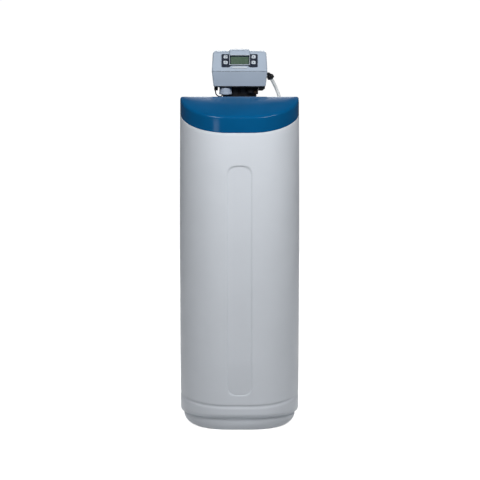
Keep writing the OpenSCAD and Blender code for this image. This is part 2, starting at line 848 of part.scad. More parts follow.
// Valve body: neck, piston housing, front columns, meter boss, injector block and ports
column_x = 12;
column_r = 11;
column_y = 6 - valve_r;
under_tray = -tray_t - 2;
injector_x = valve_r - 8;
injector_end = valve_r + 14;
injector_y = -valve_r;
injector_z = -16;
nozzle_r = 4;
refill_x = injector_end - 7;
refill_z = injector_z - 4;
module valve_solid() {
  translate([0, 0, -neck_h]) cylinder(r = valve_r, h = neck_h);
  translate([0, 0, -1]) cylinder(r = waist_r, h = 1 + piston_up / 2);
  translate([0, 0, -neck_h - plug_h]) cylinder(r = plug_r, h = plug_h + 1);
  translate([0, body_front, piston_up]) along_y() cylinder(r = housing_r, h = housing_l);
  both_sides() translate([column_x, column_y, 2 - neck_h])
    cylinder(r = column_r, h = neck_h - 2 + under_tray);
  translate([meter_x, meter_y, meter_z + 8]) cylinder(r = boss_r, h = boss_top - meter_z - 8);
  block([meter_x, meter_y - 8, 1], [-waist_r / 3, -waist_r / 3, boss_top]);
  block([column_x, injector_y, injector_z - 10], [injector_end, 0, under_tray]);
  both_sides() translate([port_x, port_start, port_z])
    along_y() cylinder(r = port_r, h = port_end - port_start);
  translate([housing_r / 2, brine_y, brine_z]) along_x() cylinder(r = 10, h = spigot_seat - housing_r / 2);
}
module valve_body() {
  color(noryl) at_valve() difference() {
    valve_solid();
    translate([0, body_front - 1, piston_up]) along_y() cylinder(r = bore_r, h = housing_l - end_wall + 1);
    translate([0, body_back - end_wall - 1, piston_up])
      along_y() cylinder(r = drain_r + run, h = end_wall + 2);
    translate([0, 0, -neck_h - plug_h - 1]) cylinder(r = riser_r + run, h = plug_h + riser_up + 2);
    translate([0, 0, -neck_h]) cylinder(r = riser_r - 3, h = neck_h + piston_up);
    both_sides() translate([port_x, port_start + 10, port_z])
      along_y() cylinder(r = bypass_r, h = port_end);
    translate([0, port_start + 26, port_z + 9]) along_x() cylinder(r = 8, h = port_x);
    translate([-port_x, port_start + 14, port_z + 9]) along_x() cylinder(r = 8, h = port_x);
    translate([meter_x, meter_y, meter_z]) cylinder(r = boss_r - 2.8, h = boss_top - meter_z - 3);
    translate([injector_x, injector_y - 1, injector_z]) along_y() cylinder(r = nozzle_r + 2, h = 30);
    translate([refill_x, injector_y - 1, refill_z]) along_y() cylinder(r = nozzle_r, h = 12);
    translate([0, brine_y, brine_z]) along_x() cylinder(r = 4, h = spigot_seat + 1);
  }
}

// Seal stack and piston inside the housing
stack_low = body_front + cap_plug + fit;
stack_high = body_back - end_wall - fit;
stack_rings = 5;
stack_step = (stack_high - stack_low) / stack_rings;
seal_section = 1.15;
module spacer_stack() {
  color(natural_pe) at_valve() translate([0, stack_low, piston_up]) along_y() difference() {
    ring(stack_r, piston_r + fit, stack_high - stack_low);
    for (k = [0 : stack_rings - 1]) translate([0, 0, (k + 0.5) * stack_step]) {
      for (a = [0 : 60 : 300]) rotate([0, 0, a]) along_x() cylinder(r = 3, h = bore_r);
    }
    for (k = [1 : stack_rings - 1])
      translate([0, 0, k * stack_step - 1.5]) ring(stack_r + 1, stack_r - 2.2, 3);
  }
}
module stack_seals() {
  color(rubber) at_valve() translate([0, stack_low, piston_up]) along_y()
    for (k = [1 : stack_rings - 1]) translate([0, 0, k * stack_step])
      rotate_extrude() translate([stack_r - 0.9, 0]) circle(r = seal_section);
}
module drive_cap() {
  color(noryl) at_valve() translate([0, body_front - cap_flange_t, piston_up]) along_y() difference() {
    union() {
      cylinder(r = housing_r - 2, h = cap_flange_t - run);
      cylinder(r = bore_r - fit, h = cap_flange_t + cap_plug);
    }
    translate([0, 0, -1]) cylinder(r = rod_r + run, h = cap_flange_t + cap_plug + 2);
  }
}
piston_low = body_front + cap_plug + 3;
piston_l = 40;
rod_front = gear_front - stroke - 1.5;
module piston() {
  land = 9;
  color(piston_grey) at_valve() translate([0, 0, piston_up]) difference() {
    union() {
      translate([0, rod_front, 0]) along_y() cylinder(r = rod_r, h = piston_low - rod_front + 1);
      translate([0, piston_low, 0]) along_y() cylinder(r = piston_r, h = piston_l);
    }
    translate([0, piston_low + land, 0]) along_y() ring(piston_r + 1, piston_r - 4, piston_l - 2 * land);
  }
}

// Drive: bracket with the idler's axle, motor and gears
module at_gear(at, y) { at_valve() translate([at[0], y, at[1]]) children(); }
module gear_solid(n, phase, t) { slab_y(0, t) rotate(phase) gear_outline(n); }
module drive_bracket() {
  color(noryl) difference() {
    union() {
      at_valve()
        block([-housing_r, bracket_y, bracket_low], [housing_r, bracket_y + bracket_t, piston_up + 30]);
      at_valve() block([pinion_at[0] - motor_r, bracket_y, pinion_at[1] - motor_r],
        [-housing_r + 5, bracket_y + bracket_t, idler_at[1] + motor_r]);
      at_gear(idler_at, gear_front - 1.5) along_y() cylinder(r = axle_r, h = bracket_y - gear_front + 2.5);
    }
    at_gear([0, piston_up], bracket_y - 1) along_y() cylinder(r = hub_r + run, h = bracket_t + 2);
    at_gear(pinion_at, bracket_y - 1) along_y() cylinder(r = 4 * shaft_r, h = bracket_t + 2);
  }
}
shaft_in = 11;
module drive_motor() {
  color(zinc) at_gear(pinion_at, bracket_y + bracket_t) along_y() difference() {
    union() {
      cylinder(r = motor_r, h = motor_l - 4);
      cylinder(r = motor_r / 2, h = motor_l);
    }
    translate([0, 0, -1]) cylinder(r = shaft_r + run, h = shaft_in + 2);
  }
}
module motor_pinion() {
  color(cap_grey) {
    at_gear(pinion_at, gear_front) gear_solid(pinion_n, pinion_phase, gear_t);
    at_gear(pinion_at, gear_front - 1)
      along_y() cylinder(r = shaft_r, h = bracket_y + bracket_t + shaft_in - gear_front);
  }
}
module idler_gear() {
  color(natural_pe) at_gear(idler_at, gear_front) difference() {
    gear_solid(idler_n, idler_phase, gear_t);
    translate([0, -1, 0]) along_y() cylinder(r = axle_r + run, h = gear_t + 2);
  }
}
module drive_gear() {
  color(natural_pe) at_gear([0, piston_up], gear_front) difference() {
    union() {
      gear_solid(drive_n, 0, gear_t);
      along_y() cylinder(r = hub_r, h = gear_t + gear_gap + bracket_t);
    }
    translate([0, -1, 0]) along_y() cylinder(r = rod_r + run, h = gear_t + gear_gap + bracket_t + 2);
  }
}

// Injector, refill control, brine elbow with its nut, drain
module injector_nozzle() {
  color(white_pe) at_valve() translate([injector_x, injector_y + 5, injector_z]) along_y() difference() {
    union() {
      cylinder(r = nozzle_r + 2 - run, h = 8);
      cylinder(r = nozzle_r, h = 22);
    }
    translate([0, 0, -1]) cylinder(r = 1, h = 24);
  }
}
module plug(r, t, head_r, head_t) {
  translate([0, -head_t, 0]) along_y() cylinder(r = head_r, h = head_t);
  translate([0, -2 * head_t, 0]) along_y() cylinder(r = 0.75 * head_r, h = head_t + 1, $fn = 6);
  translate([0, -1, 0]) along_y() cylinder(r = r, h = t + 1);
}
module injector_cap() {
  color(noryl) at_valve() translate([injector_x, injector_y, injector_z])
    plug(nozzle_r + 2 - run, 4.5, 9, 5);
}
module refill_control() {
  color(refill_brown) at_valve() translate([refill_x, injector_y, refill_z])
    plug(nozzle_r - run, 9, 5.5, 4);
}
nut_way = [cos(nut_tilt), 0, -sin(nut_tilt)];
elbow_at = [elbow_x, brine_y, brine_z];
stem_r = tube_r + 1.5;
nut_from = 5;
nut_l = 14;
stem_l = 18;
tube_in = 9;
module along_nut() { at_valve() translate(elbow_at) rotate([0, 90 + nut_tilt, 0]) children(); }
module brine_elbow() {
  color(noryl) difference() {
    union() {
      at_valve() translate([spigot_seat, brine_y, brine_z])
        along_x() cylinder(r = 7, h = elbow_x - spigot_seat);
      at_valve() translate(elbow_at) sphere(r = 8.5);
      along_nut() cylinder(r = stem_r, h = stem_l);
    }
    along_nut() translate([0, 0, tube_in]) cylinder(r = tube_r + 0.2, h = stem_l);
  }
}
module brine_nut() {
  color(noryl) along_nut() difference() {
    union() {
      translate([0, 0, nut_from + 3]) cylinder(r = brine_nut_r, h = nut_l - 3, $fn = 12);
      translate([0, 0, nut_from + 3]) cylinder(r = brine_nut_r - 1, h = nut_l);
    }
    translate([0, 0, nut_from]) sphere(r = 8.5 + fit);
    cylinder(r = stem_r + fit, h = stem_l + 0.5);
    cylinder(r = tube_r + fit, h = nut_from + nut_l + 5);
  }
}
tube_from = [elbow_x, tank_y + brine_y, head_z + brine_z] + nut_way * (tube_in + 1);
tube_mid = [grommet_x, grommet_y, rim_z + deck_t / 2];
tube_to = [well_x, well_y, stem_top];
tube_steps = 12;
down = [0, 0, -1];
outer_reach = norm(tube_mid - tube_from);
inner_reach = norm(tube_to - tube_mid);
brine_route = concat(
  [tube_from],
  [for (k = [0 : tube_steps])
    hermite(tube_from + nut_way * (stem_l - tube_in + 4), nut_way * outer_reach * 0.85,
      tube_mid, down * outer_reach * 0.95, k / tube_steps)],
  [for (k = [1 : tube_steps])
    hermite(tube_mid, down * inner_reach, tube_to, down * inner_reach, k / tube_steps)],
  [tube_to + down * 14]
);
module brine_tube() { color(natural_pe) sweep(brine_route, tube_r, 12); }
module drain_spigot() {
  color(noryl) at_valve() translate([0, body_back, piston_up]) along_y() difference() {
    union() {
      translate([0, 0, -end_wall]) cylinder(r = drain_r, h = end_wall + drain_flange_t + drain_l);
      cylinder(r = drain_flange_r, h = drain_flange_t);
    }
    translate([0, 0, -end_wall - 1]) cylinder(r = drain_r - 2, h = end_wall + drain_flange_t + drain_l + 2);
  }
}

// Inlet and outlet connectors with their union nuts
collar_t = 6;
shoulder = 0.8;
nut_r = port_r + 6;
module connector(side) {
  at_valve() translate([side * port_x, port_end, port_z]) along_y() difference() {
    union() {
      cylinder(r = port_r - 0.5, h = collar_t);
      cylinder(r = pipe_r + shoulder, h = collar_t + 4);
      cylinder(r = pipe_r, h = collar_t + 4 + pipe_l);
    }
    translate([0, 0, -1]) cylinder(r = pipe_bore_r, h = collar_t + pipe_l + 6);
  }
}
module inlet_connector() { color(noryl) connector(1); }
module outlet_connector() { color(noryl) connector(-1); }
module union_nuts() {
  grip = 14;
  color(noryl) for (side = [-1, 1])
    at_valve() translate([side * port_x, port_end - grip, port_z]) along_y() difference() {
    union() {
      cylinder(r = nut_r - 1, h = grip + collar_t + 4);
      for (a = [0 : 30 : 330])
        rotate([0, 0, a]) translate([nut_r - 2, 0, 0]) cylinder(r = 2.2, h = grip + collar_t);
    }
    translate([0, 0, -1]) cylinder(r = port_r + fit, h = grip + collar_t + 1);
    cylinder(r = pipe_r + shoulder + fit, h = grip + collar_t + 5);
  }
}

// Flow meter under the head
spindle_r = 1.5;
turbine_z = meter_z + 5;
turbine_h = 12;
module meter_cup() {
  skin = 3;
  color(cap_grey) at_valve() translate([meter_x, meter_y, meter_z]) {
    difference() {
      cylinder(r = meter_r, h = meter_h);
      translate([0, 0, skin]) cylinder(r = boss_r + 0.2, h = meter_h);
    }
    cylinder(r = spindle_r, h = turbine_h + 7);
    for (a = [0 : 15 : 345])
      rotate([0, 0, a]) translate([meter_r - 0.3, 0, 0]) cylinder(r = 0.8, h = meter_h - 5);
  }
}
module meter_turbine() {
  blades = 6;
  blade_r = boss_r - 4.4;
  color(white_pe) at_valve() translate([meter_x, meter_y, turbine_z]) difference() {
    union() {
      cylinder(r = 4, h = turbine_h);
      for (k = [0 : blades - 1])
        rotate([0, 0, 360 * k / blades]) block([0, -0.8, 1], [blade_r, 0.8, turbine_h - 1]);
    }
    translate([0, 0, -1]) cylinder(r = spindle_r + run, h = turbine_h + 2);
  }
}
module sensor_cable() { color(rubber) at_valve() sweep(cable_route, cable_r, 8); }

// Control head: tray and three covers cut from one rounded form
tab_x = -head_low_w / 2 + 2;
module head_tray() {
  half = head_low_w / 2 - 2;
  front = ridge_y + chin + 2;
  color(noryl) at_valve() difference() {
    union() {
      block([-half, front, -tray_t], [half, split_y - 3, 0]);
      block([tab_x, front + 10, -14], [tab_x + 11, front + 40, -1]);
      slab_y(front + 4, front + 50) polygon([
        [injector_end + fit, -1], [injector_end + fit, -14], [half - 8, -14], [half, -8], [half, -1]
      ]);
    }
    translate([0, 0, -tray_t - 1]) cylinder(r = valve_r + fit, h = tray_t + 2);
    block([-valve_r - fit, 0, -tray_t - 1], [valve_r + fit, split_y, 1]);
    translate([meter_x, meter_y, -tray_t - 1]) cylinder(r = boss_r + fit, h = tray_t + 2);
  }
}
module corner(r, half, y, z) { both_sides() translate([half - r, y, z]) sphere(r = r, $fn = 28); }
module foot_corner(r, half, y, low) {
  both_sides() translate([half - r, y, low]) cylinder(r = r, h = 1, $fn = 28);
}
module head_form(skin, low) {
  hull() {
    foot_corner(edge_r - skin, head_low_w / 2 - skin, ridge_y + chin + edge_r, low);
    corner(edge_r - skin, head_w / 2 - skin, front_ridge[0], front_ridge[1]);
    corner(soft_r - skin, head_top_w / 2 - skin, front_top[0], front_top[1]);
    corner(soft_r - skin, head_top_w / 2 - skin, back_y - soft_r, front_top[1] - rear_drop);
    corner(rear_r - skin, head_w / 2 - 2 - skin, back_y - rear_r, ridge_up);
    foot_corner(rear_r - skin, head_low_w / 2 - skin, back_y - rear_r, low);
  }
}
module head_shell() {
  difference() {
    head_form(0, 0);
    head_form(cover_t, -2);
  }
}
module lower_cover() {
  color(head_grey) at_valve() difference() {
    intersection() {
      head_shell();
      block([-far / 2, -far / 2, -1], [far / 2, split_y - seam / 2, ridge_up - seam / 2]);
    }
    translate([0, brine_y, brine_z]) along_x() cylinder(r = 8, h = head_w);
  }
}
module button_places() {
  for (side = [-1, 1]) for (row = [-1, 1])
    translate([side * button_x, button_v + row * button_gap / 2, 0]) children();
}
module box_at(w, h, low, high) { translate([-w / 2, -h / 2, low]) cube([w, h, high - low]); }
screen_w = window_w + 2 * screen_edge;
screen_h = window_h + 2 * screen_edge;
screen_v = window_v + window_h / 2;
lip_w = 44;
module display_cover() {
  color(head_grey) {
    difference() {
      at_valve() intersection() {
        head_shell();
        block([-far / 2, -far / 2, ridge_up + seam / 2], [far / 2, split_y - seam / 2, far]);
      }
      on_panel() button_places() box_at(button_w + 2 * fit, button_h + 2 * fit, -9, 9);
      on_panel() translate([0, screen_v, 0]) box_at(screen_w + fit, screen_h + fit, -9, 9);
    }
    on_panel() translate([0, keypad_v - 1, 0]) box_at(lip_w, 4, -1, keypad_t + 0.6);
    on_panel() for (side = [-1, 1]) for (v = [keypad_v, keypad_v + keypad_h - 0.1])
      translate([side * post_x, v, board_n]) cylinder(r = post_r, h = -board_n - cover_t / 2);
  }
}
rear_screws = [for (side = [-1, 1]) for (z = [10, head_top - 24]) [side * (head_w / 2 - 14), z]];
socket_at = [head_w / 2 - 34, head_top - 26];
socket_r = 5.5;
module rear_cover() {
  color(head_grey) at_valve() difference() {
    union() {
      intersection() {
        head_shell();
        block([-far / 2, split_y + seam / 2, -1], [far / 2, far / 2, far]);
      }
      for (at = rear_screws)
        translate([at[0], back_y - screw_l, at[1]]) along_y() cylinder(r = 2.5 * screw_r, h = screw_l - 1);
    }
    both_sides() translate([port_x, split_y, port_z]) along_y() cylinder(r = port_r + 1, h = head_d);
    both_sides() block([port_x - port_r - 1, split_y + 20, -2], [port_x + port_r + 1, back_y + 1, port_z]);
    translate([0, split_y, piston_up]) along_y() cylinder(r = drain_flange_r + 1, h = head_d);
    for (at = rear_screws)
      translate([at[0], back_y - 2 * screw_l, at[1]]) along_y() cylinder(r = screw_r + run, h = 3 * screw_l);
    translate([socket_at[0], back_y - 10, socket_at[1]]) along_y() cylinder(r = socket_r + run, h = 20);
  }
}

// Display, keypad, buttons and electronics on the slanted panel
top_lean = atan(rear_drop / (back_y - soft_r - front_top[0]));
function top_arc(r, steps) = [
  for (k = [0 : steps]) let (a = 180 - panel_tilt + (panel_tilt - 90 - top_lean) * k / steps)
    front_top + r * [cos(a), sin(a)]
];
module hood_side() {
  hood_top = head_top + hood_up;
  hood_back = split_y - seam;
  bend = top_arc(soft_r + fit, 6);
  knee = (hood_top - ridge_up - hood_t * sin(panel_tilt)) / cos(panel_tilt);
  polygon(concat(
    [panel_yz(hood_v, fit)], bend,
    [[hood_back, bend[6][1] - (hood_back - bend[6][0]) * tan(top_lean)], [hood_back, hood_top]],
    [panel_yz(knee, hood_t), panel_yz(hood_v, hood_t)]
  ));
}
module display_hood() {
  color(head_grey) difference() {
    at_valve() translate([-hood_w / 2, 0, 0]) rotate([90, 0, 90]) linear_extrude(hood_w) hood_side();
    on_panel() translate([0, screen_v, 0]) {
      box_at(window_w, window_h, -9, 9);
      box_at(screen_w + fit, screen_h + fit, -9, hood_t - screen_lip);
    }
  }
}
module display_screen() {
  color(screen_green) on_panel() translate([0, screen_v, 0])
    box_at(screen_w, screen_h, hood_t - screen_lip - screen_t - 0.1, hood_t - screen_lip - 0.1);
}
notch_v = 4.4;
module keypad_panel() {
  color(overlay_navy) on_panel() difference() {
    translate([0, keypad_v + keypad_h / 2, 0]) linear_extrude(keypad_t) rounded(keypad_w, keypad_h, 3);
    translate([0, 0, -1]) linear_extrude(keypad_t + 2) polygon([
      [-hood_w / 2 - 2, keypad_v - 1], [hood_w / 2 + 2, keypad_v - 1],
      [lip_w / 2 + 1, keypad_v + notch_v], [-lip_w / 2 - 1, keypad_v + notch_v]
    ]);
    translate([-hood_w / 2 - fit, hood_v - fit, -1]) cube([hood_w + 2 * fit, keypad_h, keypad_t + 2]);
    button_places() box_at(button_w + 2 * fit, button_h + 2 * fit, -9, 9);
  }
}
button_out = 2.4;
flange_w = 1.2;
flange_t = 1.3;
module button(side, row) {
  top = -cover_t - 0.1;
  color(key_grey) on_panel() translate([side * button_x, button_v + row * button_gap / 2, 0]) {
    box_at(button_w, button_h, top - flange_t, button_out);
    box_at(button_w + 2 * flange_w, button_h + 2 * flange_w, top - flange_t, top);
    translate([0, 0, board_n + button_travel + 0.2]) cylinder(r = 2, h = -board_n - button_travel + top - 1);
  }
}
module clock_button() { button(-1, 1); }
module menu_button() { button(-1, -1); }
module up_button() { button(1, 1); }
module down_button() { button(1, -1); }
module circuit_board() {
  color(pcb_green) on_panel() translate([0, keypad_v + keypad_h / 2 - 1, 0])
    box_at(keypad_w - 7, keypad_h + 6, board_n - board_t, board_n);
}
module power_socket() {
  color(noryl) at_valve() translate([socket_at[0], back_y - 9, socket_at[1]]) along_y() difference() {
    union() {
      cylinder(r = socket_r, h = 10);
      translate([0, 0, 9]) cylinder(r = socket_r + 2, h = 1.5);
    }
    translate([0, 0, 2]) cylinder(r = socket_r - 2.5, h = 10);
  }
}

// Brine well with the float valve, its float and the air check
module brine_well() {
  slots = 4;
  color(natural_pe) at_well() difference() {
    translate([0, 0, floor_z]) ring(well_r, well_r - well_wall, well_h);
    for (k = [0 : slots - 1]) rotate([0, 0, 45 + 360 * k / slots])
      block([well_r / 2, -4, floor_z + 12], [well_r + 5, 4, floor_z + 50]);
  }
}
stem_out_r = tube_r + 2;
module well_cap() {
  color(natural_pe) at_well() difference() {
    union() {
      translate([0, 0, well_top]) cylinder(r = well_r + 2, h = well_cap_t);
      translate([0, 0, well_top - 8]) ring(well_r - well_wall - fit, well_r - well_wall - 3, 9);
    }
    translate([0, 0, well_top - 9]) cylinder(r = stem_out_r + fit, h = 20);
  }
}
module float_valve() {
  color(white_pe) at_well() difference() {
    union() {
      translate([0, 0, valve_high - 1]) cylinder(r = stem_out_r, h = stem_top - valve_high + 1);
      translate([0, 0, well_top + well_cap_t]) cylinder(r = stem_out_r + 4, h = 4);
      translate([0, 0, valve_low]) cylinder(r = 16, h = valve_high - valve_low);
      translate([pickup_x, 0, cage_z + cage_h - 10])
        cylinder(r = pickup_r, h = valve_low - cage_z - cage_h + 11);
      translate([pickup_x, 0, float_z - 6]) cylinder(r = pickup_r + 4, h = 6 - fit);
    }
    translate([0, 0, stem_top - 15]) cylinder(r = tube_r + 0.2, h = 16);
    translate([float_rod_x, 0, valve_low - 1]) cylinder(r = float_rod_r + run, h = well_top - valve_low + 1);
  }
}
module float_rod() {
  color(zinc) at_well() translate([float_rod_x, 0, float_z + float_h / 2])
    cylinder(r = float_rod_r, h = valve_high - 6 - float_z - float_h / 2);
}
module brine_float() {
  color(white_pe) at_well() difference() {
    translate([0, 0, float_z]) cylinder(r = float_r, h = float_h);
    translate([pickup_x, 0, float_z - 1]) cylinder(r = pickup_r + 0.5, h = float_h + 2);
    translate([float_rod_x, 0, float_z + float_h / 2]) cylinder(r = float_rod_r + 0.02, h = float_h);
  }
}
module air_check() {
  cage_r = 14;
  room_r = ball_r + 1.5;
  color(white_pe) at_well() translate([pickup_x, 0, cage_z]) difference() {
    cylinder(r = cage_r, h = cage_h);
    translate([0, 0, -1]) cylinder(r = seat_r, h = cage_seat + 2);
    translate([0, 0, cage_seat]) cylinder(r = room_r, h = cage_h - cage_seat - 12);
    translate([0, 0, cage_h - 13]) cylinder(r = pickup_r - 1.5, h = 4);
    translate([0, 0, cage_h - 10]) cylinder(r = pickup_r + run, h = 11);
  }
}
module check_ball() {
  color(rubber) at_well() translate([pickup_x, 0, ball_rest]) sphere(r = ball_r);
}

cabinet();
salt_lid();
rear_deck();
hinge_pins();
case_screws();
tube_grommet();
overflow_spigot();
overflow_gasket();
overflow_nut();
tank_shell();
tank_foot();
resin_bed();
riser_tube();
lower_distributor();
upper_distributor();
tank_adapter();
adapter_seal();
valve_body();
spacer_stack();
stack_seals();
drive_cap();
piston();
drive_bracket();
drive_motor();
motor_pinion();
idler_gear();
drive_gear();
injector_nozzle();
injector_cap();
refill_control();
brine_elbow();
brine_nut();
brine_tube();
drain_spigot();
inlet_connector();
outlet_connector();
union_nuts();
meter_cup();
meter_turbine();
sensor_cable();
head_tray();
lower_cover();
display_cover();
rear_cover();
display_hood();
display_screen();
keypad_panel();
menu_button();
clock_button();
up_button();
down_button();
circuit_board();
power_socket();
brine_well();
well_cap();
float_valve();
float_rod();
brine_float();
air_check();
check_ball();
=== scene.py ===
# Cabinet water softener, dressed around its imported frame. Metres, +Z up, front towards -Y.
import json
import math

import bmesh
import bpy
from mathutils import Matrix, Vector


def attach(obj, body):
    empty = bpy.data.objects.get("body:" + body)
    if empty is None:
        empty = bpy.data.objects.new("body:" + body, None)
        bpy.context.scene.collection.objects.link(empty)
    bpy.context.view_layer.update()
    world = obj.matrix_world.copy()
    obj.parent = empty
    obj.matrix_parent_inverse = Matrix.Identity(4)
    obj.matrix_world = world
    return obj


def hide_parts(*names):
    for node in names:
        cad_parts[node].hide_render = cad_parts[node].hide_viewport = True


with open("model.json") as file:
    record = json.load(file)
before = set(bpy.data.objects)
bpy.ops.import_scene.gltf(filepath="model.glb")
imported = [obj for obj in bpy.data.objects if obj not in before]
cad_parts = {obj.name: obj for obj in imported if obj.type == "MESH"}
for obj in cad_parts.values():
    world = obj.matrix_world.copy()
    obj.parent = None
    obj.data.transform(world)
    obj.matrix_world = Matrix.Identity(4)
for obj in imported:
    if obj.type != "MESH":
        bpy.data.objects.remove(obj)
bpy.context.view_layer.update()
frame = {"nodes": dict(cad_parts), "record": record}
nodes = frame["nodes"]
scene = bpy.context.scene
mm = 0.001
print("frame loaded with", len(nodes), "nodes")


def aimAt(thing, place, target):
    scene.collection.objects.link(thing)
    thing.location = place
    thing.rotation_euler = (Vector(target) - thing.location).to_track_quat("-Z", "Y").to_euler()


# camera, on the middle line and a little above the object
cameraSet = {
    "place": (0.0012, -12.0, 2.091), "aim": (0.0012, 0.0, 0.522),
    "lens": 311.0, "sensor": 36.0, "sees": 200.0,
}


def addCamera(kit):
    data = bpy.data.cameras.new("camera")
    data.lens = kit["lens"]
    data.sensor_width = kit["sensor"]
    data.clip_end = kit["sees"]
    eye = bpy.data.objects.new("camera", data)
    aimAt(eye, kit["place"], kit["aim"])
    scene.camera = eye


addCamera(cameraSet)
scene.view_settings.view_transform = "Standard"
print("camera set")

# floor, lamps and world
studioSet = {
    "floorRadius": 70.0, "floorDrop": 0.0004, "floorGlow": 0.92, "floorTone": 0.9, "floorBounce": 0.6,
    "floorPool": (1.6, 4.5), "worldLight": 0.13, "worldTint": (0.96, 0.98, 1.0), "roomTone": 0.06,
    "backdropRise": (0.5, 0.64), "backdropBehind": (0.3, 0.8), "backdropSides": (0.15, 0.4),
}
lampSet = {
    "keyBox": {"place": (0.2, -1.42, 1.98), "aim": (0, -0.1, 0.8), "size": (0.9, 0.55), "power": 15.5,
               "mirrored": False},
    "leftBox": {"place": (-0.78, -1.29, 2.1), "aim": (0, -0.1, 0.8), "size": (0.62, 0.24), "power": 8},
    "rightBox": {"place": (1.0, -1.2, 2.0), "aim": (0, -0.1, 0.8), "size": (0.85, 0.22), "power": 7.5},
    "lowBox": {"place": (-0.95, -1.8, 0.62), "aim": (0, -0.2, 0.8), "size": (0.4, 0.5), "power": 1.3},
    "backBox": {"place": (0.3, 3.2, 1.6), "aim": (0, 0, 0.6), "size": (2.2, 1.8), "power": 40},
}


def shaderNodes(tree, *kinds):
    return [tree.nodes.new("ShaderNode" + kind) for kind in kinds]


def wire(tree, node, *sources):
    # each source to the node's next input; gives the node's first output
    for at, source in enumerate(sources):
        tree.links.new(source, node.inputs[at])
    return node.outputs[0]


def join(tree, way, *sources):
    node = tree.nodes.new("ShaderNodeMath")
    node.operation = way
    return wire(tree, node, *sources)


def spread(tree, source, low, high, fromLow=0.3, fromHigh=0.7):
    node = tree.nodes.new("ShaderNodeMapRange")
    for at, value in enumerate((fromLow, fromHigh, low, high)):
        node.inputs[at + 1].default_value = value
    return wire(tree, node, source)


def seenBy(tree, *rays):
    # 1 for the rays named, 0 for light that only bounces
    path = tree.nodes.new("ShaderNodeLightPath")
    weight = path.outputs[rays[0]]
    for ray in rays[1:]:
        weight = join(tree, "MAXIMUM", weight, path.outputs[ray])
    return weight


def addFloor(kit):
    mesh = bpy.data.meshes.new("floor")
    shape = bmesh.new()
    bmesh.ops.create_circle(shape, cap_ends=True, radius=kit["floorRadius"], segments=96)
    shape.to_mesh(mesh)
    shape.free()
    floor = bpy.data.objects.new("floor", mesh)
    scene.collection.objects.link(floor)
    floor.location.z = -kit["floorDrop"]
    look = bpy.data.materials.new("paleFloor")
    look.use_nodes = True
    tree = look.node_tree
    tree.nodes.clear()
    out, blend, both, glow, lit, dull, coords, away = shaderNodes(
        tree, "OutputMaterial", "MixShader", "AddShader", "Emission", "BsdfDiffuse", "BsdfDiffuse",
        "TexCoord", "VectorMath"
    )
    glow.inputs["Strength"].default_value = kit["floorGlow"]
    lit.inputs["Color"].default_value = (*[kit["floorTone"]] * 3, 1)
    dull.inputs["Color"].default_value = (*[kit["floorBounce"]] * 3, 1)
    # reflections see it pale round the object and dimmer further off
    away.operation = "LENGTH"
    wire(tree, away, coords.outputs["Object"])
    pool = spread(tree, away.outputs["Value"], 1, 0, *kit["floorPool"])
    mirrored = join(tree, "MINIMUM", seenBy(tree, "Is Glossy Ray", "Is Transmission Ray"), pool)
    weight = join(tree, "MAXIMUM", seenBy(tree, "Is Camera Ray"), mirrored)
    bright = wire(tree, both, glow.outputs[0], lit.outputs[0])
    surface = wire(tree, blend, weight, dull.outputs[0], bright)
    tree.links.new(surface, out.inputs["Surface"])
    mesh.materials.append(look)


def addWorld(kit):
    world = bpy.data.worlds.new("studio")
    scene.world = world
    world.use_nodes = True
    tree = world.node_tree
    tree.nodes.clear()
    out, blend, share, light, seen, white, split, coords = shaderNodes(
        tree, "OutputWorld", "MixShader", "MixShader", "Background", "Background", "Background",
        "SeparateXYZ", "TexCoord"
    )
    light.inputs["Color"].default_value = (*kit["worldTint"], 1)
    light.inputs["Strength"].default_value = kit["worldLight"]
    for pale in (seen, white):
        pale.inputs["Color"].default_value = (1, 1, 1, 1)
    wire(tree, split, coords.outputs["Generated"])
    # reflections see a pale backdrop low behind the object and a dimmer room elsewhere
    dim = kit["roomTone"]
    low = spread(tree, split.outputs["Z"], 1, dim, *kit["backdropRise"])
    behind = spread(tree, split.outputs["Y"], dim, 1, *kit["backdropBehind"])
    sides = spread(tree, join(tree, "ABSOLUTE", split.outputs["X"]), 1, dim, *kit["backdropSides"])
    least = join(tree, "MINIMUM", join(tree, "MINIMUM", low, behind), sides)
    tree.links.new(least, seen.inputs["Strength"])
    mirrored = seenBy(tree, "Is Glossy Ray", "Is Transmission Ray")
    room = wire(tree, share, mirrored, light.outputs[0], seen.outputs[0])
    surface = wire(tree, blend, seenBy(tree, "Is Camera Ray"), room, white.outputs[0])
    tree.links.new(surface, out.inputs["Surface"])


def addLamp(name, kit):
    data = bpy.data.lights.new(name, "AREA")
    data.shape = "RECTANGLE"
    data.size, data.size_y = kit["size"]
    data.energy = kit["power"]
    lamp = bpy.data.objects.new(name, data)
    aimAt(lamp, kit["place"], kit["aim"])
    lamp.visible_glossy = kit.get("mirrored", True)


addFloor(studioSet)
addWorld(studioSet)
for lampName, oneLamp in lampSet.items():
    addLamp(lampName, oneLamp)
print("studio lit")

